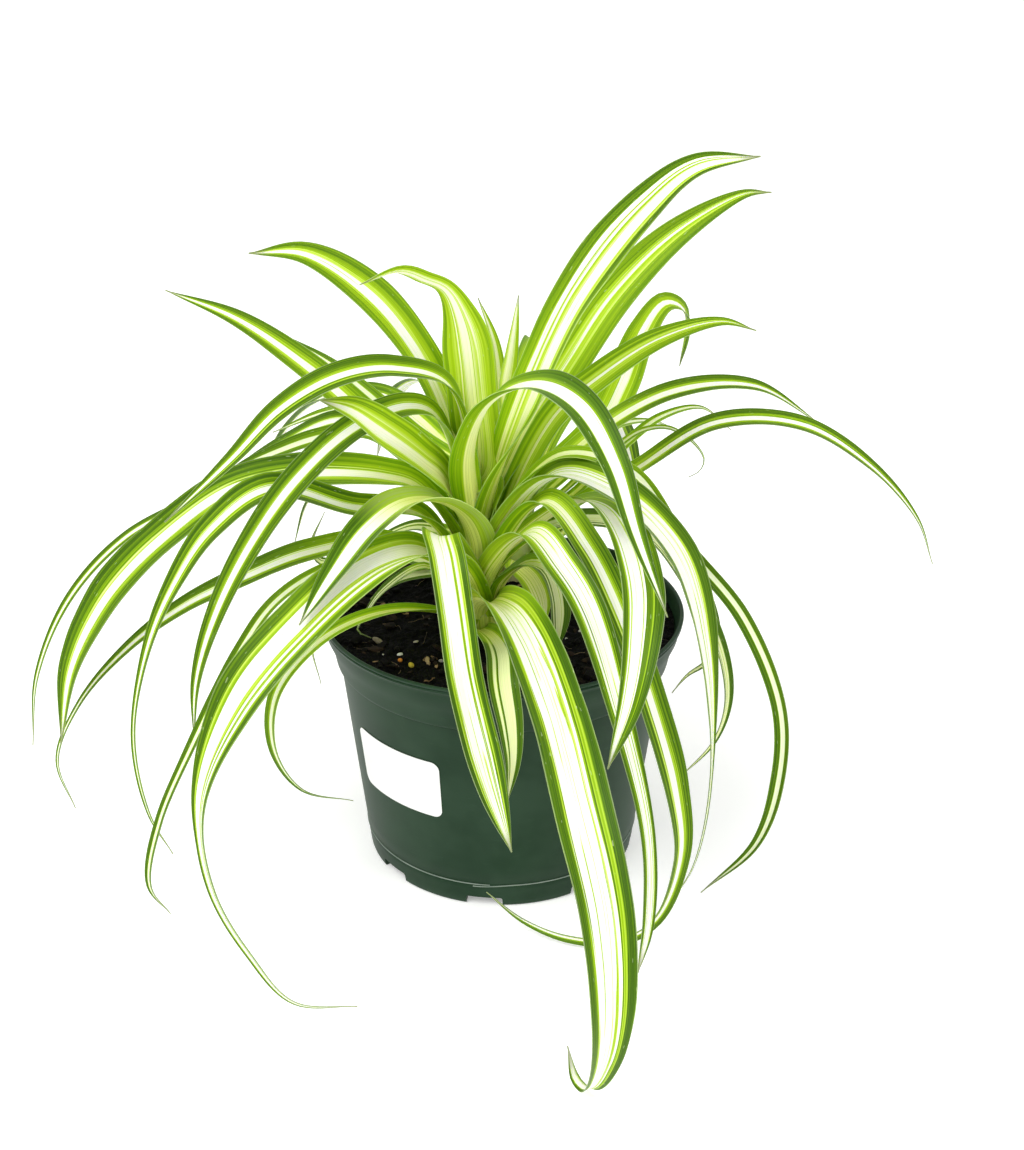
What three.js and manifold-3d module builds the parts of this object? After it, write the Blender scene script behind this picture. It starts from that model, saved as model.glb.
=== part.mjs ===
// Potted spider plant: a round nursery pot, its filling of soil, a bare label on the pot's wall,
// two crowns standing in the soil, and the long arching leaves that grow from them.
// Millimetres, +Z up. The origin is the centre of the pot's flat base, and the front is -Y.

import * as THREE from "three";
import { mergeVertices } from "three/addons/utils/BufferGeometryUtils.js";
import Module from "manifold-3d";

const wasm = await Module();
wasm.setup();

// Pot: its height, its base and rim, and the wall that flares between them.
const POT_HEIGHT = 121;
const RIM_RADIUS = 82.5;
const BASE_RADIUS = 62.9;
const WALL_DRAFT = 0.118;
const WALL = 1.8;
const FLOOR = 2;
const BAND_BOTTOM = 98.6;
const BAND_STEP = 1.6;
const GROOVE_HEIGHT = 12.1;
const GROOVE_DEPTH = 0.6;
const POT_SIDES = 64;

// Drain notches, spaced evenly round the foot.
const NOTCH_COUNT = 8;
const NOTCH_WIDTH = 16.5;
const NOTCH_HEIGHT = 4.5;
const NOTCH_DEPTH = 9;
const NOTCH_FIRST_DEG = -6.5;

// Soil, and the gap kept between pieces that touch.
const SEAT_GAP = 0.3;
const SOIL_TOP = 113;
const SOIL_CROWN = 1.5;
const HOLE_BOTTOM = 96;
const CHIP_COUNT = 22;
const CHIP_SEED = 7;

// Label: a thin curved patch on the left of the wall, with its rounded corners to the right.
const LABEL_START_DEG = -62;
const LABEL_END_DEG = -21.8;
const LABEL_BOTTOM = 47.4;
const LABEL_HEIGHT = 29.8;
const LABEL_THICKNESS = 0.5;
const LABEL_CORNER = 4;
const LABEL_COLUMNS = 28;

// Crowns: stout sheathed bases, each on its own axis.
const FRONT = { x: -11, y: -12, foot: 9.5, neck: 2.8, top: 180 };
const BACK = { x: 6, y: 42, foot: 9.5, neck: 2.8, top: 164 };
const CROWN_LOBES = 5;
const CROWN_LOBE_DEPTH = 0.03;

// Leaf blade: its thickness, the shallow fold along its midrib, its narrow start and its long point.
const BLADE = 0.75;
const FOLD_DEG = 18;
const BASE_WIDTH = 0.34;
const SPREAD_AT = 0.32;
const TAPER = [0.5, 1, 0];
const TAPER_POWER = 1.7;
const TIP_WIDTH = 1.2;
const ROOT_GAP = 1.05;
const STATION_SPACING = 19;
const STATIONS_MIN = 9;
const STATIONS_MAX = 17;
const CURVE_SAMPLES = 400;

const rad = THREE.MathUtils.degToRad;
const FOLD = rad(FOLD_DEG);

// A bearing of 0 points to the front, 90 to the right and 180 to the back.
const bearing = (degrees) => new THREE.Vector3(Math.sin(rad(degrees)), -Math.cos(rad(degrees)), 0);

const wallRadius = (z) => BASE_RADIUS + WALL_DRAFT * z;

// A crown narrows from its foot to its neck, with shallow lobes round it.
const crownRadius = (crown, z) => {
  const share = (z - SOIL_TOP) / (crown.top - SOIL_TOP);
  return THREE.MathUtils.lerp(crown.foot, crown.neck, THREE.MathUtils.clamp(share, 0, 1));
};
const lobe = ({ x, y }) => 1 + CROWN_LOBE_DEPTH * Math.cos(CROWN_LOBES * Math.atan2(y, x));

// Each leaf leaves its crown at a bearing and a height. Its midrib then runs through the points
// (x, y, z), and it has its widest width and a roll in degrees at its start and its tip. The taper
// is where along the blade it starts and stops narrowing, and the share of the width left there.
const leaf = (name, crown, [rootBearing, rootHeight], width, path, roll = [0, 0], taper = TAPER) =>
  ({ name: `leaf_${name}`, crown, rootBearing, rootHeight, width, path, roll, taper });

const LEAVES = [
  leaf("right_tall", FRONT, [84, 169], 21,
    [[12, -16, 229], [31, -19, 273], [57, -24, 310], [75, -27, 326], [99, -31, 331]], [40, 60],
    [0.62, 1, 0]),
  leaf("right_tall_rear", FRONT, [132, 163], 19,
    [[10, 6, 203], [27, 11, 231], [47, 18, 261], [73, 26, 286], [102, 36, 301], [115, 41, 301]], [35, 55]),
  leaf("right_middle", FRONT, [102, 151], 14,
    [[21, -8, 213], [41, -6, 232], [66, -2, 248], [92, 1, 255], [107, 2, 251]], [30, 50]),
  leaf("front_arch", FRONT, [8, 160], 17,
    [[-14, -25, 203], [-5, -37, 231], [13, -58, 246], [30, -84, 246], [42, -104, 231], [50, -117, 209],
      [62, -132, 182]], [45, 25]),
  leaf("right_long", FRONT, [64, 146], 22,
    [[22, -30, 196], [46, -42, 194], [71, -53, 173], [84, -61, 136], [91, -66, 75], [86, -65, 24],
      [76, -68, 5]], [0, 15], [0.42, 0.78, 0.1]),
  leaf("right_far", FRONT, [54, 158], 7,
    [[24, -23, 203], [54, -26, 197], [77, -30, 166], [104, -40, 136], [121, -52, 98], [122, -60, 68],
      [114, -62, 34], [91, -60, 6]], [20, 140], [0.78, 1, 0]),
  leaf("right_hanging", FRONT, [80, 144], 18,
    [[30, -17, 178], [42, -32, 184], [51, -56, 181], [56, -84, 170], [55, -103, 157], [51, -117, 138],
      [43, -116, 106]], [-20, 0], [0.6, 1, 0]),
  leaf("right_front_long", FRONT, [22, 137], 16,
    [[12, -47, 177], [24, -65, 171], [35, -80, 158], [49, -99, 118], [60, -114, 75], [62, -117, 33],
      [59, -116, 5]], [5, 25], [0.25, 0.8, 0.38]),
  leaf("right_floor", FRONT, [52, 140], 15,
    [[18, -34, 186], [35, -49, 172], [49, -64, 148], [62, -75, 114], [73, -84, 78], [77, -88, 46],
      [68, -90, 14], [54, -94, 6], [30, -93, 6], [11, -84, 8], [-6, -72, 14]], [15, 10], [0.45, 0.8, 0.5]),
  leaf("right_reaching", BACK, [92, 134], 10,
    [[29, 42, 148], [62, 42, 171], [97, 42, 194], [136, 42, 194], [170, 42, 174], [195, 42, 147],
      [205, 42, 124]], [30, 30]),
  leaf("right_rear_arch", BACK, [100, 145], 11,
    [[21, 46, 164], [42, 52, 184], [77, 61, 202], [118, 72, 202], [153, 81, 180]], [30, 30]),
  leaf("rear_folded", BACK, [143, 153], 18,
    [[30, 62, 166], [46, 72, 180], [57, 80, 200], [66, 86, 224], [76, 92, 236], [86, 98, 230],
      [85, 98, 203]], [30, 30], [0.5, 0.8, 0.6]),
  leaf("right_curled", BACK, [72, 127], 8,
    [[40, 34, 150], [63, 30, 151], [88, 28, 126], [99, 25, 106], [101, 18, 94], [96, 9, 88], [86, 2, 84],
      [79, -4, 78]], [20, 20]),
  leaf("right_hanging_rear", FRONT, [90, 140], 12,
    [[22, -4, 162], [62, 3, 157], [85, 0, 129], [99, -8, 103], [103, -14, 80], [98, -19, 62],
      [82, -27, 46]], [25, 40]),
  leaf("rear_slim_high", BACK, [118, 137], 6,
    [[36, 60, 153], [60, 73, 173], [76, 83, 182], [96, 94, 183], [113, 104, 168]], [20, 20]),
  leaf("rear_slim_low", BACK, [144, 142], 6,
    [[32, 73, 158], [47, 91, 170], [72, 121, 166], [91, 143, 153]], [20, 20]),
  leaf("right_slim_curl", BACK, [98, 140], 4,
    [[32, 54, 158], [50, 60, 172], [65, 66, 181], [78, 68, 182], [90, 68, 175], [96, 68, 166],
      [94, 68, 160], [89, 68, 157]], [20, 20]),
  leaf("rear_low_right", BACK, [112, 122], 8,
    [[33, 68, 129], [48, 80, 130], [64, 90, 121], [75, 98, 107]]),
  leaf("upright_pale", BACK, [48, 156], 10,
    [[16, 36, 173], [22, 33, 190], [29, 31, 204], [35, 29, 216]], [10, 30]),
  leaf("left_tall", FRONT, [-112, 173], 17,
    [[-25, -6, 216], [-37, -8, 244], [-56, -12, 270], [-81, -15, 287], [-104, -15, 287]], [-35, -55],
    [0.62, 1, 0]),
  leaf("upright_folded", FRONT, [175, 176], 22,
    [[-11, -9, 200], [-13, -12, 224], [-18, -17, 260], [-24, -21, 274], [-32, -25, 279], [-42, -31, 284],
      [-57, -39, 281]], [55, 0], [0.48, 0.74, 0.42]),
  leaf("upright_short", BACK, [-30, 158], 10,
    [[3, 37, 185], [0, 34, 212], [2, 32, 227], [4, 30, 242], [6, 28, 258]]),
  leaf("upright_rear", BACK, [-128, 158], 9,
    [[1, 46, 185], [-2, 48, 205], [-5, 47, 230], [-12, 44, 252]]),
  leaf("left_upper", BACK, [-116, 143], 15,
    [[-40, 56, 172], [-60, 62, 184], [-93, 73, 209], [-126, 83, 229], [-162, 94, 240]], [-30, -50]),
  leaf("left_upper_rear", BACK, [-152, 151], 9,
    [[-44, 70, 178], [-66, 80, 194], [-84, 90, 205], [-100, 98, 212], [-114, 104, 218]], [-25, -40]),
  leaf("left_arch", FRONT, [-48, 168], 12,
    [[-22, -22, 232], [-44, -38, 246], [-66, -55, 248], [-87, -72, 240], [-104, -85, 225],
      [-128, -103, 206]], [-25, -45]),
  leaf("left_inner_arch", FRONT, [-60, 162], 13,
    [[-28, -22, 219], [-39, -28, 226], [-61, -41, 221], [-83, -54, 204], [-101, -64, 181],
      [-116, -73, 154], [-126, -78, 124], [-129, -80, 95]], [-25, -45]),
  leaf("left_wide", FRONT, [-85, 150], 18,
    [[-36, -16, 184], [-51, -19, 191], [-82, -25, 195], [-113, -30, 190], [-141, -36, 172],
      [-167, -44, 147], [-185, -50, 115], [-193, -54, 78]], [-25, -50], [0.68, 1, 0]),
  leaf("left_hooked", FRONT, [-56, 135], 14,
    [[-34, -24, 174], [-64, -36, 184], [-96, -50, 198], [-119, -60, 184], [-134, -67, 163],
      [-146, -72, 137], [-155, -76, 96], [-152, -75, 56], [-144, -72, 33]], [-25, -45],
    [0.35, 0.78, 0.18]),
  leaf("left_short_arch", BACK, [-86, 151], 8,
    [[-48, 46, 183], [-69, 48, 197], [-84, 49, 195], [-108, 50, 185]], [-25, -35]),
  leaf("left_far", BACK, [-74, 140], 13,
    [[-46, 31, 184], [-72, 26, 200], [-99, 20, 191], [-135, 12, 169], [-170, 5, 151], [-197, -1, 123],
      [-215, -5, 85], [-221, -6, 48]], [-25, -45], [0.15, 0.5, 0.42]),
  leaf("left_slim", BACK, [-94, 136], 6,
    [[-43, 39, 168], [-62, 37, 178], [-75, 36, 180]], [-20, -20]),
  leaf("left_recurved", FRONT, [-58, 157], 22,
    [[-25, -20, 188], [-33, -32, 202], [-42, -44, 215], [-51, -52, 225], [-61, -55, 234], [-73, -54, 238]],
    [-50, -50], [0.75, 1, 0]),
  leaf("front_left_folded", FRONT, [-18, 146], 20,
    [[-13, -24, 162], [-18, -30, 178], [-28, -36, 187], [-41, -44, 189], [-54, -58, 184], [-66, -79, 175],
      [-79, -102, 162]], [-10, -45]),
  leaf("front_folded", FRONT, [-24, 136], 16,
    [[-20, -36, 160], [-26, -52, 178], [-23, -68, 175], [-19, -81, 155], [-15, -92, 132], [-10, -99, 112],
      [-4, -104, 90], [5, -106, 59]], [0, 0], [0.75, 1, 0]),
  leaf("front_short", FRONT, [-4, 118], 13,
    [[-8, -34, 124], [-3, -54, 130], [0, -74, 133], [1, -87, 128], [4, -93, 112], [5, -95, 96],
      [3, -96, 77]], [0, 0], [0.55, 1, 0]),
  leaf("front_long", FRONT, [10, 128], 23,
    [[1, -56, 147], [10, -86, 149], [22, -136, 140], [30, -171, 123], [38, -197, 97], [41, -209, 67],
      [40, -203, 34], [35, -188, 7], [31, -181, 5], [27, -184, 24]]),
  leaf("front_left_long", FRONT, [-36, 129], 25,
    [[-30, -46, 166], [-51, -70, 172], [-77, -98, 160], [-102, -118, 135], [-117, -130, 100],
      [-115, -134, 60], [-101, -136, 28], [-84, -138, 6], [-58, -138, 4]], [-5, -20], [0.42, 0.68, 0.18]),
  leaf("left_over_rim", FRONT, [-52, 121], 7,
    [[-47, -31, 133], [-75, -45, 128], [-96, -56, 107], [-99, -58, 80], [-88, -52, 54], [-67, -42, 42]],
    [-20, -30]),
  leaf("left_low_long", FRONT, [-86, 136], 12,
    [[-51, -19, 160], [-84, -25, 158], [-112, -30, 148], [-138, -34, 136], [-164, -39, 117],
      [-186, -43, 92], [-198, -45, 64], [-193, -44, 38]], [-25, -45], [0.3, 0.85, 0.2]),
  leaf("left_low_slim", FRONT, [-66, 132], 6,
    [[-34, -26, 156], [-52, -38, 162], [-76, -53, 162], [-94, -64, 153], [-108, -73, 135], [-129, -86, 96],
      [-143, -94, 65], [-149, -98, 35], [-142, -95, 18]], [-20, -30], [0.5, 0.8, 0.7]),
  leaf("left_dipping", FRONT, [-98, 125], 7,
    [[-34, -14, 146], [-52, -17, 136], [-60, -20, 126], [-64, -23, 119], [-58, -26, 117]]),
  leaf("left_rear_low", BACK, [-63, 134], 12,
    [[-35, 28, 130], [-55, 24, 135], [-74, 20, 131], [-94, 16, 110]], [-20, -20]),
  leaf("left_rear_hanging", BACK, [-84, 123], 6,
    [[-40, 40, 133], [-72, 37, 128], [-88, 34, 108], [-92, 31, 84], [-88, 27, 64]], [-20, -20]),
  leaf("left_tip_up", BACK, [-104, 119], 10,
    [[-41, 68, 129], [-72, 76, 112], [-92, 80, 104], [-97, 80, 113], [-89, 80, 132]], [-20, -20]),
  leaf("centre_dipping", FRONT, [86, 130], 15,
    [[9, -16, 148], [18, -21, 149], [23, -26, 138], [24, -36, 117]], [0, 0], [0.75, 1, 0]),
  leaf("left_soil_rear", BACK, [-40, 124], 11,
    [[-14, 30, 126], [-31, 25, 126], [-48, 20, 124], [-62, 14, 116]], [-20, -20]),
  leaf("centre_rear_dipping", BACK, [10, 126], 12,
    [[7, 16, 132], [13, 6, 130], [17, -2, 124], [19, -8, 115]], [0, 0], [0.7, 1, 0]),
  leaf("left_far_low", BACK, [-55, 150], 9,
    [[-42, 24, 180], [-62, 16, 198], [-81, 10, 198], [-98, 4, 194], [-118, -2, 186], [-131, -6, 174]],
    [-25, -45], [0.6, 1, 0]),
  leaf("rear_right_falling", BACK, [160, 134], 14,
    [[20, 78, 168], [40, 118, 180], [60, 152, 152], [72, 174, 104], [76, 182, 58]]),
  leaf("rear_centre", BACK, [-178, 145], 17,
    [[8, 66, 178], [12, 92, 200], [18, 130, 204], [22, 166, 172], [22, 190, 120]]),
  leaf("rear_centre_low", BACK, [-172, 127], 12,
    [[0, 78, 152], [-6, 112, 152], [-14, 140, 124], [-20, 152, 80], [-22, 152, 34]]),
  leaf("rear_left_falling", BACK, [-158, 141], 16,
    [[-16, 82, 172], [-38, 120, 186], [-58, 150, 166], [-70, 170, 126]]),
  leaf("rear_left_wide", BACK, [-130, 134], 15,
    [[-30, 80, 168], [-62, 108, 182], [-96, 136, 170], [-124, 158, 134], [-138, 168, 88]], [-10, -20]),
  leaf("rear_left_low", BACK, [-116, 127], 10,
    [[-36, 66, 150], [-72, 88, 150], [-98, 104, 130], [-110, 112, 98]], [-10, -20]),
];

// A blade opens from its narrow start, and rolls towards the light as it does.
const spread = (u) => THREE.MathUtils.smoothstep(u, 0, SPREAD_AT);

// Stations along the midrib, evenly spaced, each with its tangent and the blade's side and face.
function bladeFrames({ crown, rootBearing, rootHeight, path, roll }) {
  const outward = bearing(rootBearing);
  const reach = crownRadius(crown, rootHeight) * lobe(outward) + ROOT_GAP;
  const root = new THREE.Vector3(crown.x, crown.y, rootHeight).addScaledVector(outward, reach);
  const points = [root, ...path.map(([x, y, z]) => new THREE.Vector3(x, y, z))];
  const curve = new THREE.CatmullRomCurve3(points, false, "centripetal");
  curve.arcLengthDivisions = CURVE_SAMPLES;
  const wanted = Math.round(curve.getLength() / STATION_SPACING) + 1;
  const count = THREE.MathUtils.clamp(wanted, STATIONS_MIN, STATIONS_MAX);
  const heading = points[2].clone().sub(root).setZ(0).normalize();
  const side = heading.cross(new THREE.Vector3(0, 0, 1));
  return Array.from({ length: count }, (_, i) => {
    const u = i / (count - 1);
    const tangent = curve.getTangentAt(u);
    side.addScaledVector(tangent, -side.dot(tangent)).normalize();
    const rolled = rad(THREE.MathUtils.lerp(roll[0], roll[1], u)) * spread(u);
    const across = side.clone().applyAxisAngle(tangent, rolled);
    return { u, centre: curve.getPointAt(u), side: across, face: across.clone().cross(tangent) };
  });
}

// A blade narrows to a point, or first to a long slim tail where its taper leaves one.
function bladeWidth(u, { width, taper: [from, to, tail] }) {
  const opening = THREE.MathUtils.lerp(BASE_WIDTH, 1, spread(u));
  let closing = 1 - Math.max(0, (u - from) / (to - from)) ** TAPER_POWER;
  if (tail > 0) {
    const last = Math.max(0, (u - to) / (1 - to));
    closing = THREE.MathUtils.lerp(1, tail, THREE.MathUtils.smoothstep(u, from, to)) * (1 - last ** 3);
  }
  return Math.max(TIP_WIDTH, width * opening * closing);
}

// A blade is a thin, shallow V: three points across its upper face and three across its lower.
function leafGeometry(spec) {
  const frames = bladeFrames(spec);
  const ring = 6;
  const positions = [];
  for (const { u, centre, side, face } of frames) {
    const half = bladeWidth(u, spec) / 2;
    const lift = BLADE / Math.cos(FOLD) / 2;
    const across = half * Math.cos(FOLD);
    const rise = half * Math.sin(FOLD);
    const section = [[-across, rise + lift], [0, lift], [across, rise + lift],
      [across, rise - lift], [0, -lift], [-across, rise - lift]];
    for (const [s, f] of section) {
      positions.push(...centre.clone().addScaledVector(side, s).addScaledVector(face, f));
    }
  }
  const index = [];
  for (let i = 0; i < frames.length - 1; i += 1) {
    for (let k = 0; k < ring; k += 1) {
      const a = i * ring + k;
      const b = i * ring + ((k + 1) % ring);
      const [c, d] = [a + ring, b + ring];
      // Both faces are split along the same diagonals.
      if (k < 3) index.push(a, b, d, a, d, c);
      else index.push(a, b, c, b, d, c);
    }
  }
  const last = (frames.length - 1) * ring;
  for (const [a, b, c] of [[0, 5, 4], [0, 4, 1], [1, 4, 3], [1, 3, 2]]) {
    index.push(a, b, c);
    index.push(last + a, last + c, last + b);
  }
  const geometry = new THREE.BufferGeometry();
  geometry.setAttribute("position", new THREE.Float32BufferAttribute(positions, 3));
  geometry.setIndex(index);
  return geometry;
}

// A lathe turned upright, so that its axis is Z.
function turned(profile, sides) {
  const points = profile.map(([radius, z]) => new THREE.Vector2(radius, z));
  return new THREE.LatheGeometry(points, sides).rotateX(Math.PI / 2);
}

function toSolid(geometry) {
  const bare = geometry.clone();
  for (const name of Object.keys(bare.attributes)) {
    if (name !== "position") bare.deleteAttribute(name);
  }
  const merged = mergeVertices(bare, 1e-4);
  return new wasm.Manifold(new wasm.Mesh({
    numProp: 3,
    vertProperties: new Float32Array(merged.attributes.position.array),
    triVerts: new Uint32Array(merged.index.array),
  }));
}

function toGeometry(solid) {
  const mesh = solid.getMesh();
  const geometry = new THREE.BufferGeometry();
  geometry.setAttribute("position", new THREE.Float32BufferAttribute(mesh.vertProperties, 3));
  geometry.setIndex(Array.from(mesh.triVerts));
  return geometry;
}

function potGeometry() {
  const inner = (z) => wallRadius(z) - WALL;
  const bandFoot = wallRadius(BAND_BOTTOM) + BAND_STEP;
  const profile = [
    [0, 0], [BASE_RADIUS - 1, 0], [BASE_RADIUS, 0.9],
    [wallRadius(GROOVE_HEIGHT - 0.7), GROOVE_HEIGHT - 0.7],
    [wallRadius(GROOVE_HEIGHT) - GROOVE_DEPTH, GROOVE_HEIGHT],
    [wallRadius(GROOVE_HEIGHT + 0.7), GROOVE_HEIGHT + 0.7],
    [wallRadius(BAND_BOTTOM - 0.6), BAND_BOTTOM - 0.6],
    [bandFoot - 0.3, BAND_BOTTOM], [bandFoot + 0.4, BAND_BOTTOM + 1.6],
    [bandFoot + 2.4, BAND_BOTTOM + 9], [RIM_RADIUS - 1.5, POT_HEIGHT - 4],
    [RIM_RADIUS - 0.4, POT_HEIGHT - 2.4], [RIM_RADIUS, POT_HEIGHT - 1.2],
    [RIM_RADIUS - 0.5, POT_HEIGHT - 0.2],
    [RIM_RADIUS - 1.2, POT_HEIGHT], [RIM_RADIUS - 2.2, POT_HEIGHT - 0.5], [RIM_RADIUS - 2.9, POT_HEIGHT - 3],
    [bandFoot + 0.4, BAND_BOTTOM + 7], [bandFoot - 1.6, BAND_BOTTOM + 1],
    [inner(BAND_BOTTOM - 2), BAND_BOTTOM - 2], [inner(FLOOR + 1), FLOOR + 1], [inner(FLOOR) - 1, FLOOR],
    [0, FLOOR],
  ];
  let solid = toSolid(turned(profile, POT_SIDES));
  for (let i = 0; i < NOTCH_COUNT; i += 1) {
    const notch = new THREE.BoxGeometry(NOTCH_WIDTH, NOTCH_DEPTH * 2, NOTCH_HEIGHT * 2);
    notch.translate(0, -BASE_RADIUS - 1, 0).rotateZ(rad(NOTCH_FIRST_DEG + (360 / NOTCH_COUNT) * i));
    solid = solid.subtract(toSolid(notch));
  }
  return toGeometry(solid);
}

// A small generator with a fixed seed, for the scatter of chips on the soil.
function seeded(seed) {
  let state = seed;
  return () => {
    state = (state * 16807) % 2147483647;
    return state / 2147483647;
  };
}

function soilGeometry() {
  const rim = wallRadius(BAND_BOTTOM) + BAND_STEP - 1.6 - SEAT_GAP;
  const side = (z) => wallRadius(z) - WALL - SEAT_GAP;
  const bottom = FLOOR + SEAT_GAP;
  let solid = toSolid(turned([
    [0, bottom], [side(FLOOR + 1) - 1.3, bottom], [side(FLOOR + 2), FLOOR + 2],
    [side(BAND_BOTTOM - 2), BAND_BOTTOM - 2], [rim - 0.3, BAND_BOTTOM + 1],
    [rim + 1.6, BAND_BOTTOM + 7], [rim + 2.6, SOIL_TOP - 1.4], [rim + 1.4, SOIL_TOP - 0.4],
    [rim * 0.7, SOIL_TOP + SOIL_CROWN * 0.7], [0, SOIL_TOP + SOIL_CROWN],
  ], POT_SIDES));
  const random = seeded(CHIP_SEED);
  for (let i = 0; i < CHIP_COUNT; i += 1) {
    const size = 1.6 + 1.6 * random();
    const radius = 20 + 50 * Math.sqrt(random());
    const place = bearing(360 * random()).multiplyScalar(radius);
    const chip = new THREE.IcosahedronGeometry(size, 0).scale(1.4, 1, 0.7).rotateZ(6 * random());
    chip.translate(place.x, place.y, SOIL_TOP + SOIL_CROWN * (1 - radius / rim) + 0.3);
    solid = solid.add(toSolid(chip));
  }
  for (const crown of [FRONT, BACK]) {
    const radius = crown.foot * (1 + CROWN_LOBE_DEPTH) + SEAT_GAP;
    const hole = new THREE.CylinderGeometry(radius, radius, 60, 32).rotateX(Math.PI / 2);
    hole.translate(crown.x, crown.y, HOLE_BOTTOM + 30);
    solid = solid.subtract(toSolid(hole));
  }
  return toGeometry(solid);
}

// The label wraps the wall in columns, and its height shrinks in a quarter circle at its far end.
function labelGeometry() {
  const positions = [];
  const index = [];
  const span = rad(LABEL_END_DEG - LABEL_START_DEG) * wallRadius(LABEL_BOTTOM);
  for (let i = 0; i <= LABEL_COLUMNS; i += 1) {
    const along = i / LABEL_COLUMNS;
    const intoCorner = Math.max(0, LABEL_CORNER - (1 - along) * span);
    const cut = LABEL_CORNER - Math.sqrt(LABEL_CORNER ** 2 - intoCorner ** 2);
    const direction = bearing(THREE.MathUtils.lerp(LABEL_START_DEG, LABEL_END_DEG, along));
    const low = LABEL_BOTTOM + cut;
    const high = LABEL_BOTTOM + LABEL_HEIGHT - cut;
    for (const [z, out] of [[low, 0], [low, LABEL_THICKNESS], [high, LABEL_THICKNESS], [high, 0]]) {
      const point = direction.clone().multiplyScalar(wallRadius(z) + SEAT_GAP + out).setZ(z);
      positions.push(...point);
    }
  }
  for (let i = 0; i < LABEL_COLUMNS; i += 1) {
    for (let k = 0; k < 4; k += 1) {
      const a = i * 4 + k;
      const b = i * 4 + ((k + 1) % 4);
      index.push(a, b + 4, b, a, a + 4, b + 4);
    }
  }
  const last = LABEL_COLUMNS * 4;
  index.push(0, 1, 2, 0, 2, 3, last, last + 2, last + 1, last, last + 3, last + 2);
  const geometry = new THREE.BufferGeometry();
  geometry.setAttribute("position", new THREE.Float32BufferAttribute(positions, 3));
  geometry.setIndex(index);
  return geometry;
}

// A crown stands in its hole as a ribbed stub that narrows upwards to a rounded top.
function crownGeometry(crown) {
  const profile = [
    [0, HOLE_BOTTOM + SEAT_GAP], [crown.foot - 2, HOLE_BOTTOM + SEAT_GAP], [crown.foot, HOLE_BOTTOM + 6],
    [crown.foot, SOIL_TOP], [crown.neck, crown.top], [crown.neck * 0.6, crown.top + 1.4], [0, crown.top + 2],
  ];
  const geometry = turned(profile, 30);
  const position = geometry.attributes.position;
  for (let i = 0; i < position.count; i += 1) {
    const swell = lobe({ x: position.getX(i), y: position.getY(i) });
    position.setXY(i, position.getX(i) * swell, position.getY(i) * swell);
  }
  return toGeometry(toSolid(geometry)).translate(crown.x, crown.y, 0);
}

function piece(name, geometry, { color, roughness }) {
  const material = new THREE.MeshStandardMaterial({ color, roughness, metalness: 0 });
  const mesh = new THREE.Mesh(geometry, material);
  mesh.name = name;
  return mesh;
}

const PLASTIC = { color: 0x33503c, roughness: 0.55 };
const SOIL = { color: 0x1d1915, roughness: 0.95 };
const PAPER = { color: 0xf4f4f0, roughness: 0.6 };
const CROWN_GREEN = { color: 0xc9dd9a, roughness: 0.5 };
const LEAF_GREEN = { color: 0x8db54a, roughness: 0.45 };

const plant = new THREE.Group();
plant.add(piece("pot", potGeometry(), PLASTIC));
plant.add(piece("soil", soilGeometry(), SOIL));
plant.add(piece("label", labelGeometry(), PAPER));
plant.add(piece("crown_front", crownGeometry(FRONT), CROWN_GREEN));
plant.add(piece("crown_back", crownGeometry(BACK), CROWN_GREEN));
for (const spec of LEAVES) {
  plant.add(piece(spec.name, leafGeometry(spec), LEAF_GREEN));
}

export default plant;
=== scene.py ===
"""Looks for a potted spider plant: striped leaf blades, sheathed crowns, soil, nursery pot and bare label.

Sizes are in millimetres in the tables and the size fields, and in metres in the meshes.
The row's frame is kept: +Z up, the front at -Y, and the origin at the centre of the pot's flat base.
"""

from __future__ import annotations

import logging
import math
import random
from dataclasses import dataclass, field
from enum import Enum

import bpy
import numpy as np
from mathutils import Matrix, Vector, noise


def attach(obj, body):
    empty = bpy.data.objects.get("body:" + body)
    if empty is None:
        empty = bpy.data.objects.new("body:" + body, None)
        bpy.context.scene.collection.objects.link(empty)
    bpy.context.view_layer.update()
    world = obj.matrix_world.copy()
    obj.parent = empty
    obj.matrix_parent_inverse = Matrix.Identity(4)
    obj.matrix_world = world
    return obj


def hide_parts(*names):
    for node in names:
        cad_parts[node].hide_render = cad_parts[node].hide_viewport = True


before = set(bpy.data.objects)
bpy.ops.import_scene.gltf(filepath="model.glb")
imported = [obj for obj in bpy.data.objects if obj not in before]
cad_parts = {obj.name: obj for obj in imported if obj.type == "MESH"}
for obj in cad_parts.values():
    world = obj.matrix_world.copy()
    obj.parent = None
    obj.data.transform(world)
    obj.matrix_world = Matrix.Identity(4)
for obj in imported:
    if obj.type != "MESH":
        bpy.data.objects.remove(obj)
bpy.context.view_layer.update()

log = logging.getLogger("spider_plant")

MM = 0.001
BODY = "root"
UP = np.array([0.0, 0.0, 1.0])

# A turn in radians, near enough for a random start.
TURN = 6.28

Colour = tuple[float, float, float]
Stops = tuple[tuple[float, float], ...]
Rings = list[tuple[float, float]]


def bearing(degrees: float) -> np.ndarray:
    """Level direction at a bearing: 0 to the front, 90 to the right, 180 to the back."""
    angle = math.radians(degrees)
    return np.array([math.sin(angle), -math.cos(angle), 0.0])


def smoothstep(value: np.ndarray | float, low: float, high: float) -> np.ndarray | float:
    """Smooth step from 0 at low to 1 at high."""
    share = np.clip((value - low) / (high - low), 0.0, 1.0)
    return share * share * (3.0 - 2.0 * share)


def lerp(first: float, second: float, share: np.ndarray | float) -> np.ndarray | float:
    """Straight blend from first to second."""
    return first + (second - first) * share


def unit(vector: np.ndarray) -> np.ndarray:
    """The vector at length 1."""
    return vector / np.linalg.norm(vector)


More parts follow.
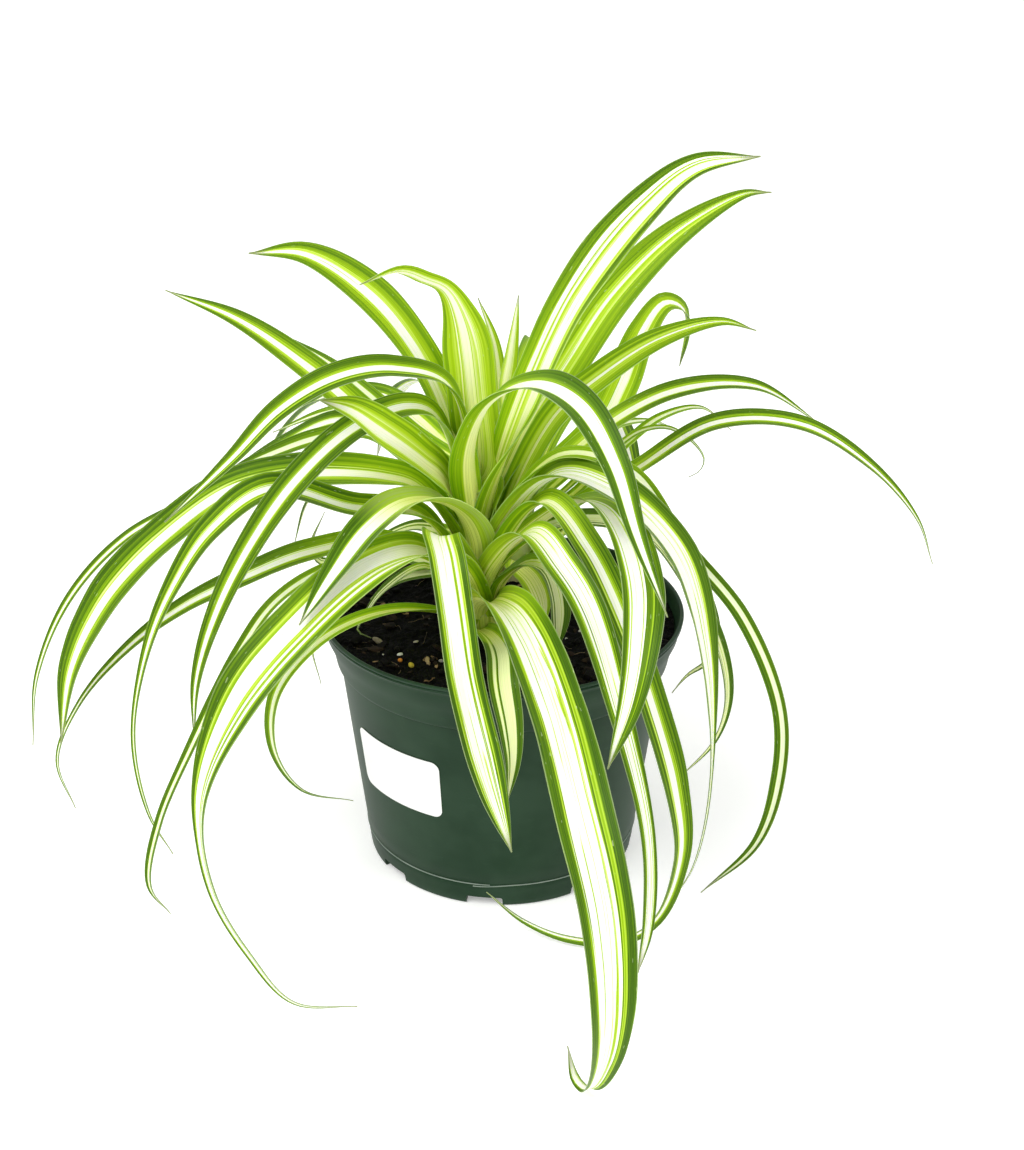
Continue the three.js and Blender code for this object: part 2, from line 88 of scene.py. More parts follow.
def turn_about(vector: np.ndarray, axis: np.ndarray, angle: float) -> np.ndarray:
    """Turn a vector about an axis.

    Args:
        vector: The vector to turn.
        axis: The axis, of length 1.
        angle: The angle in radians.

    Returns:
        The turned vector.
    """
    across = np.cross(axis, vector)
    along = axis * np.dot(axis, vector)
    return vector * math.cos(angle) + across * math.sin(angle) + along * (1.0 - math.cos(angle))


class Bench:
    """The operators that every piece is made with."""

    @staticmethod
    def clear_selection() -> None:
        """Deselect every object."""
        bpy.ops.object.select_all(action="DESELECT")

    @staticmethod
    def activate(piece: bpy.types.Object) -> None:
        """Make a piece the only selected object, and the active one.

        Args:
            piece: The object to select.
        """
        Bench.clear_selection()
        piece.select_set(True)
        bpy.context.view_layer.objects.active = piece

    @staticmethod
    def apply_modifier(piece: bpy.types.Object, kind: str, **settings: object) -> None:
        """Add a modifier to a piece and apply it.

        Args:
            piece: The object to change.
            kind: The modifier's type.
            settings: The modifier's own settings.
        """
        Bench.activate(piece)
        modifier = piece.modifiers.new(kind.title(), kind)
        for name, value in settings.items():
            setattr(modifier, name, value)
        bpy.ops.object.modifier_apply(modifier=modifier.name)

    @staticmethod
    def smooth(piece: bpy.types.Object, degrees: float = 40.0) -> None:
        """Shade a piece smooth, with sharp edges past an angle."""
        Bench.activate(piece)
        bpy.ops.object.shade_smooth_by_angle(angle=math.radians(degrees))

    @staticmethod
    def face_out(piece: bpy.types.Object) -> None:
        """Merge a piece's doubles and point its faces outwards.

        Args:
            piece: The object to mend.
        """
        Bench.activate(piece)
        bpy.ops.object.mode_set(mode="EDIT")
        bpy.ops.mesh.select_all(action="SELECT")
        bpy.ops.mesh.remove_doubles(threshold=1e-6)
        bpy.ops.mesh.normals_make_consistent(inside=False)
        bpy.ops.object.mode_set(mode="OBJECT")

    @staticmethod
    def join(pieces: list[bpy.types.Object]) -> bpy.types.Object:
        """Join several objects into the first.

        Args:
            pieces: The objects to join.

        Returns:
            The joined object.
        """
        Bench.clear_selection()
        for piece in pieces:
            piece.select_set(True)
        bpy.context.view_layer.objects.active = pieces[0]
        bpy.ops.object.join()
        return pieces[0]

    @staticmethod
    def points(piece: bpy.types.Object) -> np.ndarray:
        """Read where a piece's vertices are.

        Args:
            piece: The object to read.

        Returns:
            A row of x, y and z for each vertex.
        """
        found = np.empty(len(piece.data.vertices) * 3)
        piece.data.vertices.foreach_get("co", found)
        return found.reshape(-1, 3)

    @staticmethod
    def set_points(piece: bpy.types.Object, points: np.ndarray) -> None:
        """Move a piece's vertices to the rows of an array."""
        piece.data.vertices.foreach_set("co", points.ravel())
        piece.data.update()

    @staticmethod
    def grid(columns: int, rows: int, size: float = 1.0) -> bpy.types.Object:
        """Add a flat grid of faces with its UV map.

        Args:
            columns: The number of faces across.
            rows: The number of faces along.
            size: The side of the grid.

        Returns:
            The new object.
        """
        Bench.clear_selection()
        bpy.ops.mesh.primitive_grid_add(x_subdivisions=columns, y_subdivisions=rows, size=size)
        return bpy.context.active_object

    @staticmethod
    def turned(rings: Rings, sides: int, x: float = 0.0, y: float = 0.0) -> bpy.types.Object:
        """Extrude a filled circle ring by ring about an upright axis.

        Args:
            rings: The radius and height of each ring, from the first, in millimetres.
            sides: The number of vertices in a ring.
            x: The axis's place to the right.
            y: The axis's place to the back.

        Returns:
            The new object.
        """
        Bench.clear_selection()
        first_radius, first_height = rings[0]
        bpy.ops.mesh.primitive_circle_add(
            vertices=sides, radius=first_radius * MM, fill_type="NGON",
            location=(x * MM, y * MM, first_height * MM),
        )
        piece = bpy.context.active_object
        bpy.ops.object.transform_apply()
        bpy.ops.object.mode_set(mode="EDIT")
        centre = (x * MM, y * MM, 0.0)
        for (inner, low), (outer, high) in zip(rings, rings[1:]):
            scale = outer / inner
            bpy.ops.mesh.extrude_region_move(TRANSFORM_OT_translate={"value": (0.0, 0.0, (high - low) * MM)})
            bpy.ops.transform.resize(value=(scale, scale, 1.0), center_override=centre)
        bpy.ops.object.mode_set(mode="OBJECT")
        return piece

    @staticmethod
    def new_curve(name: str, radius: float, resolution: int) -> bpy.types.Curve:
        """Start a round, capped curve.

        Args:
            name: The curve's name.
            radius: Its radius in millimetres.
            resolution: The fineness of its round section.

        Returns:
            The empty curve.
        """
        curve = bpy.data.curves.new(name, "CURVE")
        curve.dimensions = "3D"
        curve.bevel_depth = radius * MM
        curve.bevel_resolution = resolution
        curve.use_fill_caps = True
        return curve

    @staticmethod
    def curve_mesh(curve: bpy.types.Curve) -> bpy.types.Object:
        """Turn a curve into a mesh.

        Args:
            curve: The curve with its points.

        Returns:
            The mesh object.
        """
        piece = bpy.data.objects.new(curve.name, curve)
        bpy.context.collection.objects.link(piece)
        Bench.activate(piece)
        bpy.ops.object.convert(target="MESH")
        return bpy.context.active_object

    @staticmethod
    def finish(
        piece: bpy.types.Object,
        name: str,
        slot: str,
        materials: list[bpy.types.Material],
        replaces: str | None = None,
    ) -> None:
        """slot: Not used. The record's material slot that it takes its finish from.
            materials: The materials, in slot order.
            replaces: The CAD node that it stands for, if any.
        """
        piece.name = piece.data.name = name
        piece.data.materials.clear()
        for material in materials:
            piece.data.materials.append(material)
        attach(piece, BODY)
        if replaces:
            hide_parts(replaces)
        log.info("%s: %d faces", name, len(piece.data.polygons))


class NodeTree:
    """One material's nodes, built by short calls that return sockets."""

    def __init__(self, name: str) -> None:
        """Start a material with one Principled shader.

        Args:
            name: The material's name.
        """
        self.material = bpy.data.materials.new(name)
        self.material.use_nodes = True
        self.tree = self.material.node_tree
        self.shader = self.tree.nodes["Principled BSDF"]

    def node(self, kind: str, **settings: object) -> bpy.types.Node:
        """Add a node.

        Args:
            kind: The node's type.
            settings: The node's own settings.

        Returns:
            The new node.
        """
        made = self.tree.nodes.new(kind)
        for name, value in settings.items():
            setattr(made, name, value)
        return made

    def feed(self, socket: bpy.types.NodeSocket, value: object) -> None:
        """Link a socket to another socket, or set it to a constant.

        Args:
            socket: The input socket.
            value: An output socket, a number, a vector or a colour.
        """
        if isinstance(value, bpy.types.NodeSocket):
            self.tree.links.new(value, socket)
        elif socket.type == "RGBA" and len(value) == 3:
            socket.default_value = (*value, 1.0)
        else:
            socket.default_value = value

    def math(self, operation: str, first: object, second: object = 0.0, clamp: bool = False) -> object:
        """Add a Math node.

        Args:
            operation: What it does.
            first: The first value.
            second: The second value.
            clamp: True to keep the result from 0 to 1.

        Returns:
            The result.
        """
        made = self.node("ShaderNodeMath", operation=operation, use_clamp=clamp)
        self.feed(made.inputs[0], first)
        self.feed(made.inputs[1], second)
        return made.outputs[0]

    def plus(self, first: object, second: object, clamp: bool = False) -> object:
        """The sum of two values."""
        return self.math("ADD", first, second, clamp)

    def minus(self, first: object, second: object) -> object:
        """The first value less the second."""
        return self.math("SUBTRACT", first, second)

    def times(self, first: object, second: object) -> object:
        """The product of two values."""
        return self.math("MULTIPLY", first, second)

    def mix(self, share: object, first: object, second: object) -> object:
        """Blend two colours.

        Args:
            share: The second colour's share.
            first: The first colour.
            second: The second colour.

        Returns:
            The blended colour.
        """
        made = self.node("ShaderNodeMix", data_type="RGBA")
        self.feed(made.inputs[0], share)
        self.feed(made.inputs[6], first)
        self.feed(made.inputs[7], second)
        return made.outputs[2]

    def spread(self, value: object, low: float, high: float, start: float = 0.0, end: float = 1.0) -> object:
        """Map a stretch of a value smoothly to another.

        Args:
            value: The value.
            low: Where the stretch begins.
            high: Where it ends.
            start: The result at low.
            end: The result at high.

        Returns:
            The mapped value.
        """
        made = self.node("ShaderNodeMapRange", interpolation_type="SMOOTHSTEP")
        for index, number in enumerate((value, low, high, start, end)):
            self.feed(made.inputs[index], number)
        return made.outputs[0]

    def grey_ramp(self, share: object, stops: Stops) -> object:
        """A grey ramp over the given positions."""
        return self.ramp(share, tuple((place, (level,) * 3) for place, level in stops))

    def ramp(self, share: object, stops: tuple[tuple[float, Colour], ...]) -> object:
        """Add a colour ramp.

        Args:
            share: The place on the ramp.
            stops: Each stop's place and colour.

        Returns:
            The colour.
        """
        made = self.node("ShaderNodeValToRGB")
        self.feed(made.inputs[0], share)
        elements = made.color_ramp.elements
        while len(elements) < len(stops):
            elements.new(1.0)
        for element, (place, colour) in zip(elements, stops):
            element.position = place
            element.color = (*colour, 1.0)
        return made.outputs[0]

    def noise(self, place: object, scale: float, detail: float = 2.0, roughness: float = 0.5) -> object:
        """Add noise over a place.

        Args:
            place: The place.
            scale: How many cells there are to a unit.
            detail: How many finer layers it has.
            roughness: How strong the finer layers are.

        Returns:
            The noise, from 0 to 1.
        """
        made = self.node("ShaderNodeTexNoise")
        self.feed(made.inputs["Vector"], place)
        made.inputs["Scale"].default_value = scale
        made.inputs["Detail"].default_value = detail
        made.inputs["Roughness"].default_value = roughness
        return made.outputs["Fac"]

    def line_noise(self, place: object, scale: float, detail: float = 1.0) -> object:
        """Add noise along one number.

        Args:
            place: The number.
            scale: How many cells there are to a unit.
            detail: How many finer layers it has.

        Returns:
            The noise, from 0 to 1.
        """
        made = self.node("ShaderNodeTexNoise", noise_dimensions="1D")
        self.feed(made.inputs["W"], place)
        made.inputs["Scale"].default_value = scale
        made.inputs["Detail"].default_value = detail
        return made.outputs["Fac"]

    def triple(self, x: object, y: object, z: object) -> object:
        """Join three values in a vector.

        Args:
            x: The first value.
            y: The second value.
            z: The third value.

        Returns:
            The vector.
        """
        made = self.node("ShaderNodeCombineXYZ")
        for socket, value in zip(made.inputs, (x, y, z)):
            self.feed(socket, value)
        return made.outputs[0]

    def object_place(self) -> object:
        """The place on the piece, in metres."""
        return self.node("ShaderNodeTexCoord").outputs["Object"]

    def parts(self, vector: object) -> tuple[object, object, object]:
        """Split a vector.

        Args:
            vector: The vector.

        Returns:
            Its x, y and z.
        """
        made = self.node("ShaderNodeSeparateXYZ")
        self.feed(made.inputs[0], vector)
        return made.outputs[0], made.outputs[1], made.outputs[2]

    def attribute(self, name: str) -> object:
        """A number that the mesh carries under a name."""
        return self.node("ShaderNodeAttribute", attribute_name=name).outputs["Fac"]

    def bump(self, height: object, depth_mm: float, strength: float = 1.0) -> None:
        """Raise the surface by a height times a depth.

        Args:
            height: The height, from 0 to 1.
            depth_mm: The relief at height 1.
            strength: How strongly the relief shows.
        """
        made = self.node("ShaderNodeBump")
        made.inputs["Strength"].default_value = strength
        made.inputs["Distance"].default_value = depth_mm * MM
        self.feed(made.inputs["Height"], height)
        self.tree.links.new(made.outputs[0], self.shader.inputs["Normal"])

    def shade(self, colour: object, roughness: object, **constants: float) -> bpy.types.Material:
        """Feed the shader and return the material.

        Args:
            colour: The base colour.
            roughness: The roughness.
            constants: Other sockets of the shader, with underscores for spaces.

        Returns:
            The finished material.
        """
        self.feed(self.shader.inputs["Base Color"], colour)
        self.feed(self.shader.inputs["Roughness"], roughness)
        for name, value in constants.items():
            self.shader.inputs[name.replace("_", " ")].default_value = value
        return self.material


class Tone(Enum):
    """The kinds of striping that the leaves show."""

    STRIPED = "striped"
    LINED = "lined"
    BANDED = "banded"
    WHITE = "white_heart"
    HALF = "half_green"
    VIVID = "vivid"
    CREAM = "cream_heart"
    YOUNG = "young"
    UPRIGHT = "upright"
    FOLDED = "pale_foot"
    SLIM = "slim"


DARKEST_GREEN: Colour = (0.036, 0.100, 0.004)
DEEP_GREEN: Colour = (0.068, 0.158, 0.003)
MID_GREEN: Colour = (0.132, 0.262, 0.003)
LEAF_LIME: Colour = (0.330, 0.540, 0.006)
PALE_LIME: Colour = (0.610, 0.780, 0.100)
IVORY: Colour = (0.950, 0.950, 0.860)
BASE_GREEN: Colour = (0.160, 0.370, 0.001)
BASE_LIME: Colour = (0.500, 0.710, 0.012)
BASE_PALE: Colour = (0.900, 0.970, 0.230)
TIP_DRY: Colour = (0.210, 0.240, 0.100)
# Olive of the fine threads, and of the blade's foot, where it is partly painted shade deep in the crown.
OLIVE_AND_PAINTED_SHADE: Colour = (0.260, 0.350, 0.030)
UNDER_HAZE: Colour = (0.480, 0.600, 0.260)
# Pale flecks, and the painted highlight along the blades' margins.
PALE_FLECK_AND_HIGHLIGHT: Colour = (0.640, 0.740, 0.400)

# How many cells of each kind of streak lie across a blade, and how far apart two leaves' noise is.
FINE_COUNT = 75.0
VEIN_COUNT = 34.0
LINE_COUNT = 15.0
BAND_COUNT = 11.0
THREAD_COUNT = 58.0
FLECK_COUNT = 26.0
SEED_STEP = 31.0

# How far the streaks shift the stripes' edges and the whole pattern, and how strongly they show.
EDGE_FEATHER = 0.06
DRIFT = 0.11
BAND_DEPTH = 0.60
STREAK_DEPTH = 0.30
LEAST_PALE = 0.43
UNDER_SHARE = 0.14

WHITE_HEART: Stops = (
    (0.0, 0.03), (0.20, 0.07), (0.26, 0.34), (0.30, 0.46), (0.325, 1.0), (0.66, 1.0), (0.68, 0.46),
    (0.74, 0.12), (1.0, 0.03),
)


@dataclass(frozen=True)
class StripeFinish:
    """One kind of striped blade: the pale share from edge to edge, its greens and its fine lines.

    The fresh greens of the crown fade out at fresh_to, and the pale foot from pale_from to pale_to, all in
    decimetres along the blade.
    """

    pattern: Stops
    margin: Colour = MID_GREEN
    lime: Colour = LEAF_LIME
    pale: Colour = IVORY
    line_from: float = 0.60
    line_depth: float = 0.42
    fresh_to: float = 1.7
    pale_from: float = 0.40
    pale_to: float = 1.1
    foot: Colour = BASE_GREEN

    def material(self, name: str, under: bool) -> bpy.types.Material:
        """Make the finish.

        Args:
            name: The material's name.
            under: True for the duller underside.

        Returns:
            The material.
        """
        tree = NodeTree(name)
        uv = tree.node("ShaderNodeUVMap", uv_map="UVMap").outputs[0]
        across, along, _ = tree.parts(uv)
        seed = tree.attribute("leaf_seed")
        reach = tree.attribute("leaf_reach")
        place = self.wandering(tree, across, reach, seed)
        far = tree.times(seed, SEED_STEP)
        fine = tree.noise(tree.triple(tree.times(place, FINE_COUNT), tree.times(reach, 1.6), far), 1.0, 2.0)
        veins = tree.line_noise(tree.plus(tree.times(place, VEIN_COUNT), far), 1.0)
        pale = self.pale_share(tree, place, reach, far, fine, veins)
        colour = self.greens(tree, pale, reach)
        colour = self.marks(tree, colour, place, across, along, reach, far)
        if under:
            colour = tree.mix(UNDER_SHARE, colour, UNDER_HAZE)
        roughness = tree.plus(0.36, tree.times(fine, 0.16))
        tree.bump(tree.plus(tree.times(fine, 0.4), tree.times(veins, 0.6)), 0.16, 0.7)
        return tree.shade(
            colour, roughness, Specular_IOR_Level=0.10, Subsurface_Weight=0.5, Subsurface_Scale=0.45 * MM,
            Subsurface_Radius=(0.9, 1.0, 0.35),
        )

    def pale_share(
        self, tree: NodeTree, place: object, reach: object, far: object, fine: object, veins: object,
    ) -> object:
        """How pale the blade is: its stripes, less the fine green lines in them, a little uneven.

        Args:
            tree: The material's nodes.
            place: The drifting place across the blade.
            reach: The length along the blade.
            far: The leaf's own offset in the noise.
            fine: The finest streaks.
            veins: The veins.

        Returns:
            The share, from 0 for dark green to 1 for ivory.
        """
        feather = tree.times(tree.minus(fine, 0.5), EDGE_FEATHER)
        paleness = tree.grey_ramp(tree.plus(place, feather), self.pattern)
        stripes = tree.line_noise(tree.plus(tree.times(place, LINE_COUNT), far), 1.0, 2.0)
        fading = tree.noise(tree.triple(tree.times(place, BAND_COUNT), tree.times(reach, 1.3), far), 1.0)
        lines = tree.spread(stripes, self.line_from, self.line_from + 0.03, 0.0, self.line_depth)
        lines = tree.times(lines, tree.spread(fading, 0.42, 0.56))
        bands = tree.line_noise(tree.plus(tree.times(place, BAND_COUNT), far), 1.0, 2.0)
        bands = tree.times(tree.minus(bands, 0.5), BAND_DEPTH)
        streak = tree.times(tree.minus(tree.plus(fine, veins), 1.0), STREAK_DEPTH)
        varied = tree.plus(tree.plus(bands, streak), 0.04)
        pale = tree.plus(tree.minus(paleness, lines), varied, clamp=True)
        return tree.math("MAXIMUM", pale, tree.times(paleness, LEAST_PALE))

    def greens(self, tree: NodeTree, pale: object, reach: object) -> object:
        """The blade's colour, fresher near the crown and palest at its foot.

        Args:
            tree: The material's nodes.
            pale: The pale share.
            reach: The length along the blade.

        Returns:
            The colour.
        """
        blade = tree.ramp(
            pale,
            ((0.0, DARKEST_GREEN), (0.10, DEEP_GREEN), (0.24, self.margin), (0.43, self.lime),
             (0.56, PALE_LIME), (0.68, self.pale), (1.0, self.pale)),
        )
        fresh = tree.ramp(pale, ((0.0, BASE_GREEN), (0.34, BASE_LIME), (0.58, PALE_LIME), (0.68, self.pale)))
        colour = tree.mix(tree.spread(reach, 0.5, self.fresh_to, 0.9, 0.0), blade, fresh)
        base = tree.ramp(pale, ((0.0, self.foot), (0.34, BASE_LIME), (0.8, BASE_PALE), (1.0, BASE_PALE)))
        return tree.mix(tree.spread(reach, self.pale_from, self.pale_to, 0.95, 0.0), colour, base)

    @staticmethod
    def marks(
        tree: NodeTree,
        colour: object,
        place: object,
        across: object,
        along: object,
        reach: object,
        far: object,
    ) -> object:
        """Thin threads, an olive foot that is partly painted shade, a dry tip, small flecks and a painted
        highlight along the margins.

        Args:
            tree: The material's nodes.
            colour: The blade's colour.
            place: The drifting place across the blade.
            across: The place across the blade, from 0 to 1.
            along: The place along the blade, from 0 to 1.
            reach: The length along the blade.
            far: The leaf's own offset in the noise.

        Returns:
            The marked colour.
        """
        threads = tree.line_noise(tree.plus(tree.times(place, THREAD_COUNT), far), 1.0)
        threads = tree.spread(threads, 0.52, 0.60, 0.0, 1.0)
        threads = tree.times(threads, tree.spread(reach, 0.3, 1.3, 0.44, 0.12))
        colour = tree.mix(threads, colour, OLIVE_AND_PAINTED_SHADE)
        # Olive towards the blade's foot: partly the sheath's own colour, partly painted shade where the
        # crown's leaves shade each other.
        colour = tree.mix(tree.spread(reach, 0.05, 0.40, 0.38, 0.0), colour, OLIVE_AND_PAINTED_SHADE)
        colour = tree.mix(tree.spread(along, 0.94, 1.0, 0.0, 0.8), colour, TIP_DRY)
        spots = tree.triple(tree.times(across, FLECK_COUNT), tree.times(reach, 22.0), far)
        flecks = tree.noise(spots, 1.0, 1.0)
        colour = tree.mix(tree.spread(flecks, 0.73, 0.76, 0.0, 0.35), colour, PALE_FLECK_AND_HIGHLIGHT)
        # A painted highlight along both margins of the blade.
        edge = tree.math("ABSOLUTE", tree.minus(across, 0.5))
        return tree.mix(tree.spread(edge, 0.478, 0.497, 0.0, 0.3), colour, PALE_FLECK_AND_HIGHLIGHT)

    @staticmethod
    def wandering(tree: NodeTree, across: object, reach: object, seed: object) -> object:
        """The place across the blade, drifting a little along it.

        Args:
            tree: The material's nodes.
            across: The place across the blade, from 0 to 1.
            reach: The length along the blade.
            seed: The leaf's own number.

        Returns:
            The drifting place.
        """
        spot = tree.triple(tree.times(across, 1.6), tree.times(reach, 1.3), seed)
        drift = tree.minus(tree.noise(spot, 1.0), 0.5)
        return tree.plus(across, tree.times(drift, DRIFT))


FINISHES: dict[Tone, StripeFinish] = {
    Tone.STRIPED: StripeFinish(
        pattern=((0.0, 0.06), (0.16, 0.14), (0.18, 0.34), (0.25, 0.42), (0.27, 1.0), (0.50, 1.0),
                 (0.52, 0.52), (0.61, 0.38), (0.63, 0.95), (0.65, 0.95), (0.67, 0.36), (0.705, 0.36),
                 (0.72, 0.95), (0.785, 0.9), (0.80, 0.30), (0.86, 0.12), (1.0, 0.06)),
        fresh_to=1.9),
    Tone.LINED: StripeFinish(
        pattern=((0.0, 0.05), (0.11, 0.10), (0.14, 0.30), (0.20, 0.40), (0.225, 1.0), (0.52, 1.0),
                 (0.53, 0.62), (0.545, 0.62), (0.555, 1.0), (0.63, 1.0), (0.64, 0.50), (0.67, 0.46),
                 (0.68, 1.0), (0.73, 1.0), (0.75, 0.45), (0.82, 0.34), (0.86, 0.10), (1.0, 0.05)),
        margin=(0.112, 0.230, 0.004), line_from=0.53, line_depth=0.52, fresh_to=1.1, pale_to=0.95,
        foot=(0.270, 0.440, 0.020)),
    Tone.BANDED: StripeFinish(
        pattern=((0.0, 0.06), (0.18, 0.10), (0.27, 0.30), (0.36, 0.46), (0.385, 0.96), (0.59, 1.0),
                 (0.61, 0.50), (0.68, 0.34), (0.78, 0.10), (1.0, 0.05)),
        line_from=0.62, fresh_to=1.15),
    Tone.UPRIGHT: StripeFinish(
        pattern=((0.0, 0.06), (0.18, 0.14), (0.27, 0.32), (0.36, 0.46), (0.385, 0.96), (0.57, 1.0),
                 (0.59, 0.54), (0.68, 0.36), (0.80, 0.14), (1.0, 0.06)),
        line_from=0.60, fresh_to=2.1),
    Tone.FOLDED: StripeFinish(
        pattern=WHITE_HEART,
        margin=(0.100, 0.225, 0.010), line_from=0.60, fresh_to=0.6, pale_from=0.80, pale_to=1.10,
        foot=(0.520, 0.680, 0.150)),
    Tone.WHITE: StripeFinish(
        pattern=WHITE_HEART,
        margin=(0.100, 0.225, 0.010), line_from=0.66, fresh_to=1.5, pale_to=1.5),
    Tone.HALF: StripeFinish(
        pattern=((0.0, 0.06), (0.11, 0.12), (0.13, 0.36), (0.16, 0.40), (0.175, 0.95), (0.20, 0.95),
                 (0.21, 0.40), (0.235, 0.40), (0.25, 1.0), (0.50, 1.0), (0.515, 0.42), (0.55, 0.40),
                 (0.565, 0.9), (0.58, 0.9), (0.60, 0.16), (0.72, 0.12), (0.74, 0.36), (0.77, 0.36),
                 (0.79, 0.12), (1.0, 0.06)),
        fresh_to=1.6),
    Tone.VIVID: StripeFinish(
        pattern=((0.0, 0.08), (0.26, 0.16), (0.34, 0.40), (0.42, 0.46), (0.435, 0.95), (0.49, 0.95),
                 (0.505, 0.46), (0.66, 0.36), (0.74, 0.14), (1.0, 0.06)),
        lime=(0.340, 0.590, 0.004), fresh_to=2.6, pale_to=1.3),
    Tone.CREAM: StripeFinish(
        pattern=((0.0, 0.0), (0.22, 0.06), (0.26, 0.34), (0.29, 0.95), (0.62, 0.95), (0.64, 0.25),
                 (0.70, 0.2), (0.72, 0.9), (0.80, 0.85), (0.82, 0.1), (1.0, 0.0)),
        margin=(0.070, 0.170, 0.006), lime=(0.200, 0.360, 0.010), pale=(0.800, 0.850, 0.460),
        line_from=0.62, line_depth=0.5, fresh_to=0.55, pale_from=0.30, pale_to=0.6),
    Tone.YOUNG: StripeFinish(
        pattern=((0.0, 0.12), (0.16, 0.24), (0.24, 0.42), (0.32, 0.60), (0.43, 0.70), (0.46, 1.0),
                 (0.56, 1.0), (0.58, 0.68), (0.68, 0.54), (0.78, 0.26), (1.0, 0.12)),
        margin=(0.160, 0.320, 0.003), lime=(0.380, 0.600, 0.008), pale=(0.940, 0.950, 0.760),
        line_depth=0.30, fresh_to=2.2, pale_to=1.15),
    Tone.SLIM: StripeFinish(
        pattern=((0.0, 0.05), (0.24, 0.08), (0.30, 0.4), (0.34, 0.95), (0.60, 0.95), (0.64, 0.3),
                 (0.70, 0.08), (1.0, 0.04)),
        pale=(0.840, 0.890, 0.640), line_from=0.7),
}


@dataclass(frozen=True)
class CrownPlace:
    """Where a crown stands, and how it narrows upwards."""

    x: float
    y: float
    foot: float
    neck: float
    top: float

    def axis(self, height: float) -> np.ndarray:
        """The point of the crown's axis at a height."""
        return np.array([self.x, self.y, height])

    def radius(self, height: float) -> float:
        """The crown's radius at a height."""
        share = min(max((height - SOIL_TOP) / (self.top - SOIL_TOP), 0.0), 1.0)
        return lerp(self.foot, self.neck, share)


SOIL_TOP = 113.0
FRONT = CrownPlace(x=-11.0, y=-12.0, foot=9.5, neck=2.8, top=180.0)
BACK = CrownPlace(x=6.0, y=42.0, foot=9.5, neck=2.8, top=164.0)


class MidribCurve:
    """A smooth curve through points, with centripetal spacing, read by length."""

    SAMPLES = 48

    def __init__(self, points: list[np.ndarray]) -> None:
        """Sample the curve finely once.

        Args:
            points: The points that it goes through.
        """
        ends = [2 * points[0] - points[1], *points, 2 * points[-1] - points[-2]]
        rows = [points[0]]
        for before, start, end, after in zip(ends, ends[1:], ends[2:], ends[3:]):
            rows.extend(self._span(before, start, end, after))
        self.rows = np.array(rows)
        steps = np.linalg.norm(np.diff(self.rows, axis=0), axis=1)
        self.lengths = np.concatenate([[0.0], np.cumsum(steps)])

    def _span(
        self, before: np.ndarray, start: np.ndarray, end: np.ndarray, after: np.ndarray,
    ) -> list[np.ndarray]:
        """Sample one span, past its start.

        Args:
            before: The point before the span.
            start: The span's start.
            end: The span's end.
            after: The point after the span.

        Returns:
            The samples.
        """
        gaps = [math.sqrt(np.linalg.norm(b - a)) for a, b in ((before, start), (start, end), (end, after))]
        lead = (start - before) / gaps[0] - (end - before) / (gaps[0] + gaps[1]) + (end - start) / gaps[1]
        trail = (end - start) / gaps[1] - (after - start) / (gaps[1] + gaps[2]) + (after - end) / gaps[2]
        lead, trail = lead * gaps[1], trail * gaps[1]
        square = -3 * start + 3 * end - 2 * lead - trail
        cube = 2 * start - 2 * end + lead + trail
        shares = (np.arange(self.SAMPLES) + 1) / self.SAMPLES
        return [start + lead * t + square * t ** 2 + cube * t ** 3 for t in shares]

    def at(self, lengths: np.ndarray) -> np.ndarray:
        """The points at the given lengths along the curve."""
        return np.stack([np.interp(lengths, self.lengths, self.rows[:, i]) for i in range(3)], axis=1)


@dataclass(frozen=True)
class Leaf:
    """One leaf: the root's bearing and height on its crown, its width, and the points of its midrib.

    The taper gives the shares of the length where the blade starts and stops narrowing, and the share of its
    width that is left there.
    """

    name: str
    crown: CrownPlace
    root: tuple[float, float]
    width: float
    tone: Tone
    path: list[tuple[float, float, float]]
    roll: tuple[float, float] = (0.0, 0.0)
    taper: tuple[float, float, float] = (0.5, 1.0, 0.0)
    mirrored: bool = False


